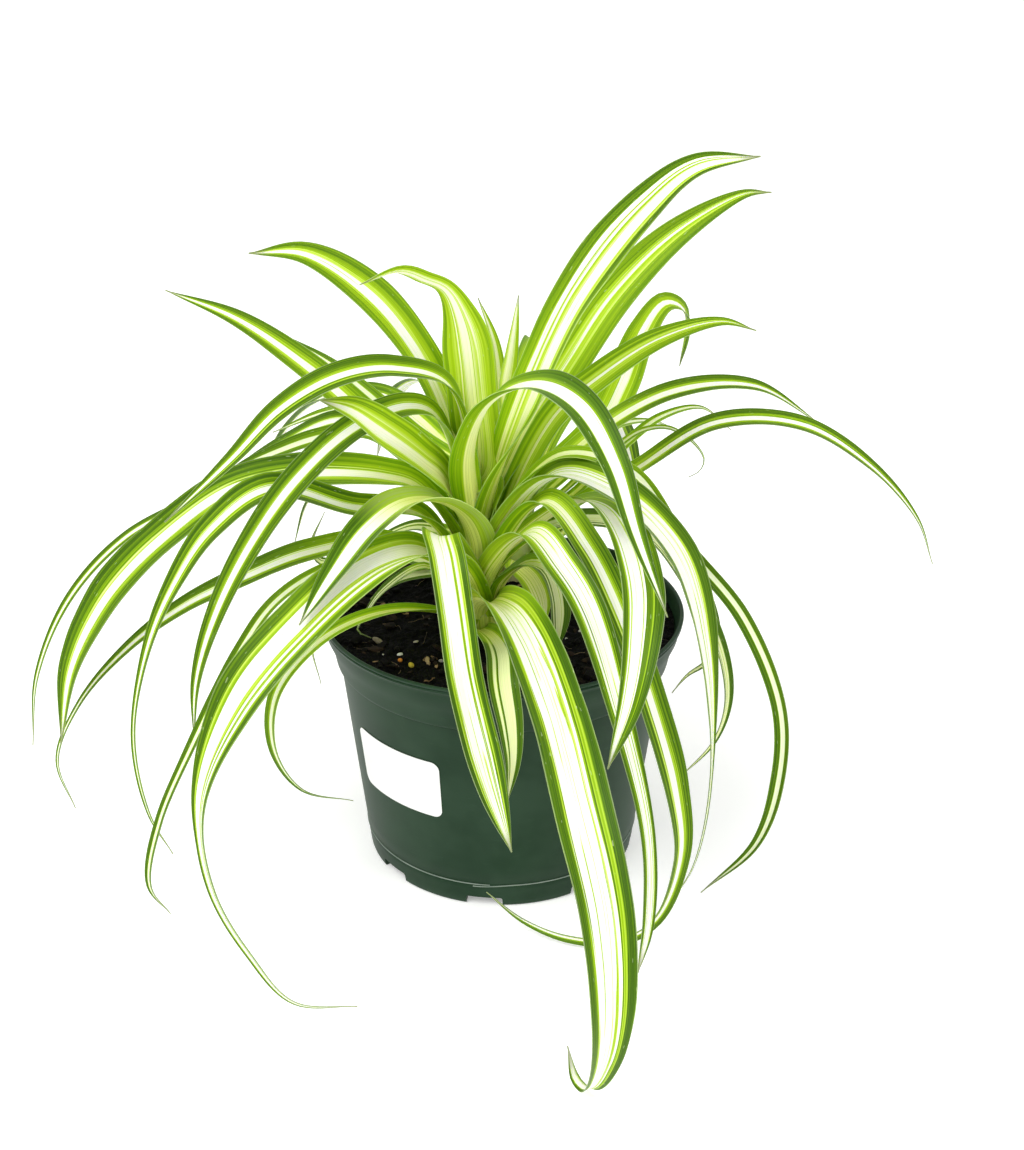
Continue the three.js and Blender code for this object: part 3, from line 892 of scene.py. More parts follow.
LEAVES: tuple[Leaf, ...] = (
    Leaf("right_tall", FRONT, (84, 169), 21, Tone.STRIPED,
         [(12, -16, 229), (31, -19, 273), (57, -24, 310), (75, -27, 326), (99, -31, 331)], (40, 60),
         taper=(0.62, 1.0, 0.0), mirrored=True),
    Leaf("right_tall_rear", FRONT, (132, 163), 19, Tone.VIVID,
         [(10, 6, 203), (27, 11, 231), (47, 18, 261), (73, 26, 286), (102, 36, 301), (115, 41, 301)],
         (35, 55)),
    Leaf("right_middle", FRONT, (102, 151), 14, Tone.VIVID,
         [(21, -8, 213), (41, -6, 232), (66, -2, 248), (92, 1, 255), (107, 2, 251)], (30, 50)),
    Leaf("front_arch", FRONT, (8, 160), 17, Tone.WHITE,
         [(-14, -25, 203), (-5, -37, 231), (13, -58, 246), (30, -84, 246), (42, -104, 231), (50, -117, 209),
          (62, -132, 182)], (45, 25)),
    Leaf("right_long", FRONT, (64, 146), 22, Tone.LINED,
         [(22, -30, 196), (46, -42, 194), (71, -53, 173), (84, -61, 136), (91, -66, 75), (86, -65, 24),
          (76, -68, 5)], (0, 15), taper=(0.42, 0.78, 0.1), mirrored=True),
    Leaf("right_far", FRONT, (54, 158), 7, Tone.SLIM,
         [(24, -23, 203), (54, -26, 197), (77, -30, 166), (104, -40, 136), (121, -52, 98), (122, -60, 68),
          (114, -62, 34), (91, -60, 6)], (20, 140), taper=(0.78, 1.0, 0.0)),
    Leaf("right_hanging", FRONT, (80, 144), 18, Tone.HALF,
         [(30, -17, 178), (42, -32, 184), (51, -56, 181), (56, -84, 170), (55, -103, 157), (51, -117, 138),
          (43, -116, 106)], (-20, 0), taper=(0.6, 1.0, 0.0), mirrored=True),
    Leaf("right_front_long", FRONT, (22, 137), 16, Tone.LINED,
         [(12, -47, 177), (24, -65, 171), (35, -80, 158), (49, -99, 118), (60, -114, 75), (62, -117, 33),
          (59, -116, 5)], (5, 25), taper=(0.25, 0.8, 0.38)),
    Leaf("right_floor", FRONT, (52, 140), 15, Tone.BANDED,
         [(18, -34, 186), (35, -49, 172), (49, -64, 148), (62, -75, 114), (73, -84, 78), (77, -88, 46),
          (68, -90, 14), (54, -94, 6), (30, -93, 6), (11, -84, 8), (-6, -72, 14)], (15, 10),
         taper=(0.45, 0.8, 0.5)),
    Leaf("right_reaching", BACK, (92, 134), 10, Tone.BANDED,
         [(29, 42, 148), (62, 42, 171), (97, 42, 194), (136, 42, 194), (170, 42, 174), (195, 42, 147),
          (205, 42, 124)], (30, 30)),
    Leaf("right_rear_arch", BACK, (100, 145), 11, Tone.BANDED,
         [(21, 46, 164), (42, 52, 184), (77, 61, 202), (118, 72, 202), (153, 81, 180)], (30, 30)),
    Leaf("rear_folded", BACK, (143, 153), 18, Tone.UPRIGHT,
         [(30, 62, 166), (46, 72, 180), (57, 80, 200), (66, 86, 224), (76, 92, 236), (86, 98, 230),
          (85, 98, 203)], (30, 30), taper=(0.5, 0.8, 0.6)),
    Leaf("right_curled", BACK, (72, 127), 8, Tone.CREAM,
         [(40, 34, 150), (63, 30, 151), (88, 28, 126), (99, 25, 106), (101, 18, 94), (96, 9, 88),
          (86, 2, 84), (79, -4, 78)], (20, 20)),
    Leaf("right_hanging_rear", FRONT, (90, 140), 12, Tone.CREAM,
         [(22, -4, 162), (62, 3, 157), (85, 0, 129), (99, -8, 103), (103, -14, 80), (98, -19, 62),
          (82, -27, 46)], (25, 40)),
    Leaf("rear_slim_high", BACK, (118, 137), 6, Tone.SLIM,
         [(36, 60, 153), (60, 73, 173), (76, 83, 182), (96, 94, 183), (113, 104, 168)], (20, 20)),
    Leaf("rear_slim_low", BACK, (144, 142), 6, Tone.SLIM,
         [(32, 73, 158), (47, 91, 170), (72, 121, 166), (91, 143, 153)], (20, 20)),
    Leaf("right_slim_curl", BACK, (98, 140), 4, Tone.SLIM,
         [(32, 54, 158), (50, 60, 172), (65, 66, 181), (78, 68, 182), (90, 68, 175), (96, 68, 166),
          (94, 68, 160), (89, 68, 157)], (20, 20)),
    Leaf("rear_low_right", BACK, (112, 122), 8, Tone.CREAM,
         [(33, 68, 129), (48, 80, 130), (64, 90, 121), (75, 98, 107)]),
    Leaf("upright_pale", BACK, (48, 156), 10, Tone.YOUNG,
         [(16, 36, 173), (22, 33, 190), (29, 31, 204), (35, 29, 216)], (10, 30)),
    Leaf("left_tall", FRONT, (-112, 173), 17, Tone.UPRIGHT,
         [(-25, -6, 216), (-37, -8, 244), (-56, -12, 270), (-81, -15, 287), (-104, -15, 287)], (-35, -55),
         taper=(0.62, 1.0, 0.0)),
    Leaf("upright_folded", FRONT, (175, 176), 22, Tone.YOUNG,
         [(-11, -9, 200), (-13, -12, 224), (-18, -17, 260), (-24, -21, 274), (-32, -25, 279),
          (-42, -31, 284), (-57, -39, 281)], (55, 0), taper=(0.48, 0.74, 0.42)),
    Leaf("upright_short", BACK, (-30, 158), 10, Tone.YOUNG,
         [(3, 37, 185), (0, 34, 212), (2, 32, 227), (4, 30, 242), (6, 28, 258)]),
    Leaf("upright_rear", BACK, (-128, 158), 9, Tone.YOUNG,
         [(1, 46, 185), (-2, 48, 205), (-5, 47, 230), (-12, 44, 252)]),
    Leaf("left_upper", BACK, (-116, 143), 15, Tone.UPRIGHT,
         [(-40, 56, 172), (-60, 62, 184), (-93, 73, 209), (-126, 83, 229), (-162, 94, 240)], (-30, -50)),
    Leaf("left_upper_rear", BACK, (-152, 151), 9, Tone.SLIM,
         [(-44, 70, 178), (-66, 80, 194), (-84, 90, 205), (-100, 98, 212), (-114, 104, 218)], (-25, -40)),
    Leaf("left_arch", FRONT, (-48, 168), 12, Tone.BANDED,
         [(-22, -22, 232), (-44, -38, 246), (-66, -55, 248), (-87, -72, 240), (-104, -85, 225),
          (-128, -103, 206)], (-25, -45)),
    Leaf("left_inner_arch", FRONT, (-60, 162), 13, Tone.BANDED,
         [(-28, -22, 219), (-39, -28, 226), (-61, -41, 221), (-83, -54, 204), (-101, -64, 181),
          (-116, -73, 154), (-126, -78, 124), (-129, -80, 95)], (-25, -45), mirrored=True),
    Leaf("left_wide", FRONT, (-85, 150), 18, Tone.BANDED,
         [(-36, -16, 184), (-51, -19, 191), (-82, -25, 195), (-113, -30, 190), (-141, -36, 172),
          (-167, -44, 147), (-185, -50, 115), (-193, -54, 78)], (-25, -50), taper=(0.68, 1.0, 0.0)),
    Leaf("left_hooked", FRONT, (-56, 135), 14, Tone.BANDED,
         [(-34, -24, 174), (-64, -36, 184), (-96, -50, 198), (-119, -60, 184), (-134, -67, 163),
          (-146, -72, 137), (-155, -76, 96), (-152, -75, 56), (-144, -72, 33)], (-25, -45),
         taper=(0.35, 0.78, 0.18)),
    Leaf("left_short_arch", BACK, (-86, 151), 8, Tone.SLIM,
         [(-48, 46, 183), (-69, 48, 197), (-84, 49, 195), (-108, 50, 185)], (-25, -35)),
    Leaf("left_far", BACK, (-74, 140), 13, Tone.BANDED,
         [(-46, 31, 184), (-72, 26, 200), (-99, 20, 191), (-135, 12, 169), (-170, 5, 151), (-197, -1, 123),
          (-215, -5, 85), (-221, -6, 48)], (-25, -45), taper=(0.15, 0.5, 0.42)),
    Leaf("left_slim", BACK, (-94, 136), 6, Tone.SLIM,
         [(-43, 39, 168), (-62, 37, 178), (-75, 36, 180)], (-20, -20)),
    Leaf("left_recurved", FRONT, (-58, 157), 22, Tone.YOUNG,
         [(-25, -20, 188), (-33, -32, 202), (-42, -44, 215), (-51, -52, 225), (-61, -55, 234),
          (-73, -54, 238)], (-50, -50), taper=(0.75, 1.0, 0.0)),
    Leaf("front_left_folded", FRONT, (-18, 146), 20, Tone.FOLDED,
         [(-13, -24, 162), (-18, -30, 178), (-28, -36, 187), (-41, -44, 189), (-54, -58, 184),
          (-66, -79, 175), (-79, -102, 162)], (-10, -45)),
    Leaf("front_folded", FRONT, (-24, 136), 16, Tone.LINED,
         [(-20, -36, 160), (-26, -52, 178), (-23, -68, 175), (-19, -81, 155), (-15, -92, 132),
          (-10, -99, 112), (-4, -104, 90), (5, -106, 59)], taper=(0.75, 1.0, 0.0), mirrored=True),
    Leaf("front_short", FRONT, (-4, 118), 13, Tone.CREAM,
         [(-8, -34, 124), (-3, -54, 130), (0, -74, 133), (1, -87, 128), (4, -93, 112), (5, -95, 96),
          (3, -96, 77)], taper=(0.55, 1.0, 0.0)),
    Leaf("front_long", FRONT, (10, 128), 23, Tone.LINED,
         [(1, -56, 147), (10, -86, 149), (22, -136, 140), (30, -171, 123), (38, -197, 97), (41, -209, 67),
          (40, -203, 34), (35, -188, 7), (31, -181, 5), (27, -184, 24)], mirrored=True),
    Leaf("front_left_long", FRONT, (-36, 129), 25, Tone.STRIPED,
         [(-30, -46, 166), (-51, -70, 172), (-77, -98, 160), (-102, -118, 135), (-117, -130, 100),
          (-115, -134, 60), (-101, -136, 28), (-84, -138, 6), (-58, -138, 4)], (-5, -20),
         taper=(0.42, 0.68, 0.18), mirrored=True),
    Leaf("left_over_rim", FRONT, (-52, 121), 7, Tone.SLIM,
         [(-47, -31, 133), (-75, -45, 128), (-96, -56, 107), (-99, -58, 80), (-88, -52, 54), (-67, -42, 42)],
         (-20, -30)),
    Leaf("left_low_long", FRONT, (-86, 136), 12, Tone.BANDED,
         [(-51, -19, 160), (-84, -25, 158), (-112, -30, 148), (-138, -34, 136), (-164, -39, 117),
          (-186, -43, 92), (-198, -45, 64), (-193, -44, 38)], (-25, -45), taper=(0.3, 0.85, 0.2)),
    Leaf("left_low_slim", FRONT, (-66, 132), 6, Tone.SLIM,
         [(-34, -26, 156), (-52, -38, 162), (-76, -53, 162), (-94, -64, 153), (-108, -73, 135),
          (-129, -86, 96), (-143, -94, 65), (-149, -98, 35), (-142, -95, 18)], (-20, -30),
         taper=(0.5, 0.8, 0.7)),
    Leaf("left_dipping", FRONT, (-98, 125), 7, Tone.CREAM,
         [(-34, -14, 146), (-52, -17, 136), (-60, -20, 126), (-64, -23, 119), (-58, -26, 117)]),
    Leaf("left_rear_low", BACK, (-63, 134), 12, Tone.CREAM,
         [(-35, 28, 130), (-55, 24, 135), (-74, 20, 131), (-94, 16, 110)], (-20, -20)),
    Leaf("left_rear_hanging", BACK, (-84, 123), 6, Tone.CREAM,
         [(-40, 40, 133), (-72, 37, 128), (-88, 34, 108), (-92, 31, 84), (-88, 27, 64)], (-20, -20)),
    Leaf("left_tip_up", BACK, (-104, 119), 10, Tone.CREAM,
         [(-41, 68, 129), (-72, 76, 112), (-92, 80, 104), (-97, 80, 113), (-89, 80, 132)], (-20, -20)),
    Leaf("centre_dipping", FRONT, (86, 130), 15, Tone.CREAM,
         [(9, -16, 148), (18, -21, 149), (23, -26, 138), (24, -36, 117)], taper=(0.75, 1.0, 0.0)),
    Leaf("left_soil_rear", BACK, (-40, 124), 11, Tone.CREAM,
         [(-14, 30, 126), (-31, 25, 126), (-48, 20, 124), (-62, 14, 116)], (-20, -20)),
    Leaf("centre_rear_dipping", BACK, (10, 126), 12, Tone.LINED,
         [(7, 16, 132), (13, 6, 130), (17, -2, 124), (19, -8, 115)], taper=(0.7, 1.0, 0.0)),
    Leaf("left_far_low", BACK, (-55, 150), 9, Tone.SLIM,
         [(-42, 24, 180), (-62, 16, 198), (-81, 10, 198), (-98, 4, 194), (-118, -2, 186), (-131, -6, 174)],
         (-25, -45), taper=(0.6, 1.0, 0.0)),
    Leaf("rear_right_falling", BACK, (160, 134), 14, Tone.BANDED,
         [(20, 78, 168), (40, 118, 180), (60, 152, 152), (72, 174, 104), (76, 182, 58)]),
    Leaf("rear_centre", BACK, (-178, 145), 17, Tone.STRIPED,
         [(8, 66, 178), (12, 92, 200), (18, 130, 204), (22, 166, 172), (22, 190, 120)]),
    Leaf("rear_centre_low", BACK, (-172, 127), 12, Tone.CREAM,
         [(0, 78, 152), (-6, 112, 152), (-14, 140, 124), (-20, 152, 80), (-22, 152, 34)]),
    Leaf("rear_left_falling", BACK, (-158, 141), 16, Tone.LINED,
         [(-16, 82, 172), (-38, 120, 186), (-58, 150, 166), (-70, 170, 126)]),
    Leaf("rear_left_wide", BACK, (-130, 134), 15, Tone.WHITE,
         [(-30, 80, 168), (-62, 108, 182), (-96, 136, 170), (-124, 158, 134), (-138, 168, 88)], (-10, -20)),
    Leaf("rear_left_low", BACK, (-116, 127), 10, Tone.CREAM,
         [(-36, 66, 150), (-72, 88, 150), (-98, 104, 130), (-110, 112, 98)], (-10, -20)),
)


@dataclass
class Foliage:
    """All the leaf blades. Sizes are in millimetres."""

    row_spacing: float = 2.6
    columns: int = 14
    thickness: float = 0.62
    margin_share: float = 0.35
    root_gap: float = 1.05
    base_width: float = 0.95
    base_wrap: float = 66.0
    blade_wrap: float = 21.0
    crease: float = 0.20
    spread_at: float = 0.16
    roll_at: float = 0.32
    taper_power: float = 1.7
    tip_width: float = 0.5
    sheath_length: float = 15.0
    sheath_share: float = 0.28
    sheath_spread: float = 3.0
    sheath_sink: float = 6.0
    sheath_gap: float = 0.4
    wave_share: float = 0.035
    wave_pitch: tuple[float, float] = (48.0, 40.0)
    fine_wave: tuple[float, float] = (0.4, 0.43)
    margin_thinning: float = 0.75
    tip_thinning: float = 0.6
    first_seed: int = 100
    finishes: dict[tuple[Tone, bool], bpy.types.Material] = field(default_factory=dict)

    def build(self) -> None:
        """Make every blade in the table."""
        for tone, finish in FINISHES.items():
            self.finishes[tone, False] = finish.material(f"leaf_{tone.value}_upper", under=False)
            self.finishes[tone, True] = finish.material(f"leaf_{tone.value}_under", under=True)
        for number, leaf in enumerate(LEAVES):
            self.blade(leaf, random.Random(self.first_seed + number))

    def blade(self, leaf: Leaf, chance: random.Random) -> None:
        """Make one blade, from its sheath to its tip.

        Args:
            leaf: The leaf's row in the table.
            chance: The leaf's own seeded numbers.
        """
        root, spine = self.spine(leaf, chance)
        rows = round(spine.lengths[-1] / self.row_spacing)
        lengths = np.linspace(0.0, spine.lengths[-1], rows + 1)
        start = spine.lengths[MidribCurve.SAMPLES]
        shares = np.clip((lengths - start) / (spine.lengths[-1] - start), 0.0, 1.0)
        centres = spine.at(lengths)
        tangents = self.tangents(centres)
        heading = np.array(leaf.path[1], dtype=float) - root
        heading[2] = 0.0
        heading_side = np.cross(unit(heading), UP)
        clasp_side = np.cross(bearing(leaf.root[0]), UP)
        sides = self.sides(tangents, heading_side, clasp_side, shares, leaf.roll)
        piece = Bench.grid(self.columns, rows)
        place = Bench.points(piece) + 0.5
        row = np.rint(place[:, 1] * rows).astype(int)
        across = place[:, 0] * 2.0 - 1.0
        half = self.half_widths(shares, leaf)[row]
        section, rise = self.section(across, half, shares[row], lengths[row], chance)
        faces = np.cross(sides, tangents)
        points = centres[row] + sides[row] * section[:, None] + faces[row] * rise[:, None]
        Bench.set_points(piece, points * MM)
        self.write(piece, "leaf_seed", np.full(len(points), chance.random()))
        self.write(piece, "leaf_reach", lengths[row] / 100.0)
        if leaf.mirrored:
            self.mirror_stripes(piece)
        self.thicken(piece, across, shares[row])
        Bench.smooth(piece, 60.0)
        materials = [self.finishes[leaf.tone, False], self.finishes[leaf.tone, True]]
        Bench.finish(piece, f"blade_{leaf.name}", "leaf", materials, f"leaf_{leaf.name}")

    def spine(self, leaf: Leaf, chance: random.Random) -> tuple[np.ndarray, MidribCurve]:
        """Run a midrib from the foot of its sheath, by its root on the crown, to the tip.

        Args:
            leaf: The leaf's row in the table.
            chance: The leaf's own seeded numbers.

        Returns:
            The root, and the midrib.
        """
        root_bearing, root_height = leaf.root
        outward = bearing(root_bearing)
        sheath = self.sheath_length + self.sheath_share * leaf.width + self.sheath_spread * chance.random()
        low = max(root_height - sheath, SOIL_TOP - self.sheath_sink)
        foot = leaf.crown.axis(low) + outward * (leaf.crown.radius(low) + self.sheath_gap)
        root = leaf.crown.axis(root_height) + outward * (leaf.crown.radius(root_height) + self.root_gap)
        return root, MidribCurve([foot, root, *[np.array(point, dtype=float) for point in leaf.path]])

    @staticmethod
    def tangents(centres: np.ndarray) -> np.ndarray:
        """Unit directions along a row of points."""
        steps = np.gradient(centres, axis=0)
        return steps / np.linalg.norm(steps, axis=1)[:, None]

    def sides(
        self,
        tangents: np.ndarray,
        heading_side: np.ndarray,
        clasp_side: np.ndarray,
        shares: np.ndarray,
        roll: tuple[float, float],
    ) -> np.ndarray:
        """Directions across the blade: round the crown at its base, and carried along from there.

        Args:
            tangents: The directions along the blade.
            heading_side: The side that the blade's heading gives.
            clasp_side: The side that goes round the crown.
            shares: Each row's share of the blade's length.
            roll: The roll at the root and at the tip, in degrees.

        Returns:
            A unit direction for each row.
        """
        carried, clasped = heading_side, clasp_side
        found = []
        for tangent, share in zip(tangents, shares):
            carried = unit(carried - tangent * np.dot(carried, tangent))
            clasped = unit(clasped - tangent * np.dot(clasped, tangent))
            twist = math.atan2(np.dot(np.cross(carried, clasped), tangent), np.dot(carried, clasped))
            opened = smoothstep(share, 0.0, self.spread_at)
            rolled = math.radians(lerp(*roll, share)) * smoothstep(share, 0.0, self.roll_at)
            found.append(turn_about(carried, tangent, twist * (1.0 - opened) + rolled))
        return np.array(found)

    def half_widths(self, shares: np.ndarray, leaf: Leaf) -> np.ndarray:
        """Narrow the blade at its foot and towards its tip.

        Args:
            shares: The shares of the length.
            leaf: The leaf's row in the table.

        Returns:
            Half of the blade's width at each share.
        """
        start, end, tail = leaf.taper
        opening = lerp(self.base_width, 1.0, smoothstep(shares, 0.0, self.spread_at))
        if tail == 0.0:
            late = np.maximum(0.0, (shares - start) / (end - start))
            closing = 1.0 - late ** self.taper_power
        else:
            last = np.maximum(0.0, (shares - end) / (1.0 - end))
            closing = lerp(1.0, tail, smoothstep(shares, start, end)) * (1.0 - last ** 3)
        return np.maximum(self.tip_width, leaf.width * opening * closing) / 2.0

    @staticmethod
    def mirror_stripes(piece: bpy.types.Object) -> None:
        """Turn a blade's stripes over, from edge to edge."""
        for corner in piece.data.uv_layers["UVMap"].data:
            corner.uv.x = 1.0 - corner.uv.x

    def section(
        self,
        across: np.ndarray,
        half: np.ndarray,
        shares: np.ndarray,
        lengths: np.ndarray,
        chance: random.Random,
    ) -> tuple[np.ndarray, np.ndarray]:
        """The blade's cross-section: an arc with a crease at the midrib and slightly wavy margins.

        Args:
            across: The place across the blade, from -1 to 1.
            half: Half of the width there.
            shares: The share of the length there.
            lengths: The length from the sheath's foot.
            chance: The leaf's own seeded numbers.

        Returns:
            The distance along the side, and the rise towards the upper face.
        """
        wrap = np.radians(lerp(self.base_wrap, self.blade_wrap, smoothstep(shares, 0.0, 0.3)))
        radius = half / wrap
        side = radius * np.sin(wrap * across)
        rise = radius * (1.0 - np.cos(wrap * across)) + self.crease * half * np.abs(across)
        size = self.wave_share * half * smoothstep(shares, 0.1, 0.35)
        fine_size, fine_pitch = self.fine_wave
        for sign in (-1.0, 1.0):
            phase = TURN * chance.random()
            pitch = self.wave_pitch[0] + self.wave_pitch[1] * chance.random()
            wave = np.sin(TURN * lengths / pitch + phase)
            wave = wave + fine_size * np.sin(TURN * lengths / (pitch * fine_pitch) + phase * 2)
            rise = rise + np.where(across * sign > 0, size * wave * np.abs(across) ** 2.5, 0.0)
        return side, rise

    @staticmethod
    def write(piece: bpy.types.Object, name: str, values: np.ndarray) -> None:
        """Give every point of a piece a number under a name."""
        layer = piece.data.attributes.new(name, "FLOAT", "POINT")
        layer.data.foreach_set("value", values.astype(np.float32))

    def thicken(self, piece: bpy.types.Object, across: np.ndarray, shares: np.ndarray) -> None:
        """Give a blade its thickness, thinner at the margins and at the tip.

        Args:
            piece: The blade's upper surface.
            across: The place of each point across the blade, from -1 to 1.
            shares: The share of the length of each point.
        """
        weights = 1.0 - self.margin_thinning * np.abs(across) ** 2
        weights = weights * (1.0 - self.tip_thinning * smoothstep(shares, 0.7, 1.0))
        group = piece.vertex_groups.new(name="body")
        for index, weight in enumerate(weights):
            group.add([index], float(weight), "REPLACE")
        Bench.apply_modifier(
            piece, "SOLIDIFY", thickness=self.thickness * MM, offset=0.0, vertex_group="body",
            thickness_vertex_group=self.margin_share, material_offset=1, material_offset_rim=0,
        )
        piece.vertex_groups.clear()


@dataclass(frozen=True)
class CrownFinish:
    """Pale green sheaths, drier and browner towards the soil."""

    low: Colour = (0.46, 0.44, 0.20)
    mid: Colour = (0.46, 0.58, 0.19)
    high: Colour = (0.40, 0.60, 0.06)
    rib_scale: tuple[float, float] = (900.0, 40.0)

    def material(self) -> bpy.types.Material:
        """Make the finish.

        Returns:
            The material.
        """
        tree = NodeTree("crown_sheath")
        place = tree.object_place()
        x, y, z = tree.parts(place)
        fine, coarse = self.rib_scale
        drawn_out = tree.triple(tree.times(x, fine), tree.times(y, fine), tree.times(z, coarse))
        ribs = tree.noise(drawn_out, 1.0, 3.0)
        rise = tree.plus(z, tree.times(tree.minus(ribs, 0.5), 0.012))
        colour = tree.mix(tree.spread(rise, 0.116, 0.132), self.low, self.mid)
        colour = tree.mix(tree.spread(rise, 0.14, 0.17), colour, self.high)
        colour = tree.mix(tree.times(ribs, 0.5), colour, self.low)
        tree.bump(ribs, 0.25, 0.8)
        return tree.shade(colour, 0.42)


@dataclass
class Crown:
    """One crown: a ribbed core of sheaths, from under the soil to among the leaves."""

    name: str
    place: CrownPlace
    bottom: float = 97.0
    sides: int = 40
    ribs: int = 7
    rib_depth: float = 0.05
    rib_twist: float = 0.012
    rings: int = 34

    def build(self, material: bpy.types.Material) -> None:
        """Make the core.

        Args:
            material: The finish of the sheaths.
        """
        heights = np.linspace(self.bottom, self.place.top, self.rings)
        rings = [(self.place.radius(height), height) for height in heights]
        piece = Bench.turned(rings, self.sides, self.place.x, self.place.y)
        self.rib(piece)
        Bench.face_out(piece)
        Bench.smooth(piece, 50.0)
        Bench.finish(piece, f"core_{self.name}", "crown", [material], f"crown_{self.name}")

    def rib(self, piece: bpy.types.Object) -> None:
        """Press the spiralling grooves between the sheaths into the core.

        Args:
            piece: The core.
        """
        points = Bench.points(piece) / MM
        offset = points[:, :2] - np.array([self.place.x, self.place.y])
        angle = np.arctan2(offset[:, 1], offset[:, 0]) + (points[:, 2] - self.bottom) * self.rib_twist
        swell = 1.0 - self.rib_depth * (1.0 - np.abs(np.cos(angle * self.ribs / 2.0)))
        points[:, :2] = np.array([self.place.x, self.place.y]) + offset * swell[:, None]
        Bench.set_points(piece, points * MM)


@dataclass(frozen=True)
class PotFinish:
    """Moulded dark green plastic with a fine satin grain and rubbed edges."""

    green: Colour = (0.004, 0.026, 0.008)
    worn: Colour = (0.034, 0.074, 0.040)
    roughness: float = 0.40
    cloud_scale: float = 26.0
    grain_scale: float = 1900.0
    scuff_scale: float = 140.0

    def material(self) -> bpy.types.Material:
        """Make the finish.

        Returns:
            The material.
        """
        tree = NodeTree("pot_plastic")
        place = tree.object_place()
        x, y, z = tree.parts(place)
        cloud = tree.noise(place, self.cloud_scale, 3.0, 0.6)
        grain = tree.noise(place, self.grain_scale, 2.0)
        scuff = tree.noise(tree.triple(x, y, tree.times(z, 6.0)), self.scuff_scale, 4.0, 0.65)
        scuffs = tree.spread(scuff, 0.60, 0.76, 0.0, 0.22)
        lip = tree.spread(z, 0.1175, 0.1208, 0.0, 0.30)
        foot = tree.spread(z, 0.0, 0.006, 0.25, 0.0)
        wear = tree.plus(tree.plus(scuffs, lip), foot, clamp=True)
        colour = tree.mix(tree.spread(cloud, 0.3, 0.7, 0.0, 0.35), self.green, self.worn)
        colour = tree.mix(wear, colour, self.worn)
        roughness = tree.plus(self.roughness, tree.times(cloud, 0.16))
        tree.bump(grain, 0.03, 0.5)
        return tree.shade(colour, roughness, Specular_IOR_Level=0.19)


@dataclass(frozen=True)
class MouldLineFinish:
    """The pot's plastic, rubbed pale along the raised line."""

    green: Colour = (0.06, 0.105, 0.07)
    rubbed: Colour = (0.30, 0.36, 0.30)
    wear_scale: float = 90.0

    def material(self) -> bpy.types.Material:
        """Make the finish.

        Returns:
            The material.
        """
        tree = NodeTree("pot_mould_line")
        wear = tree.noise(tree.object_place(), self.wear_scale, 2.0)
        return tree.shade(tree.mix(wear, self.green, self.rubbed), 0.45)


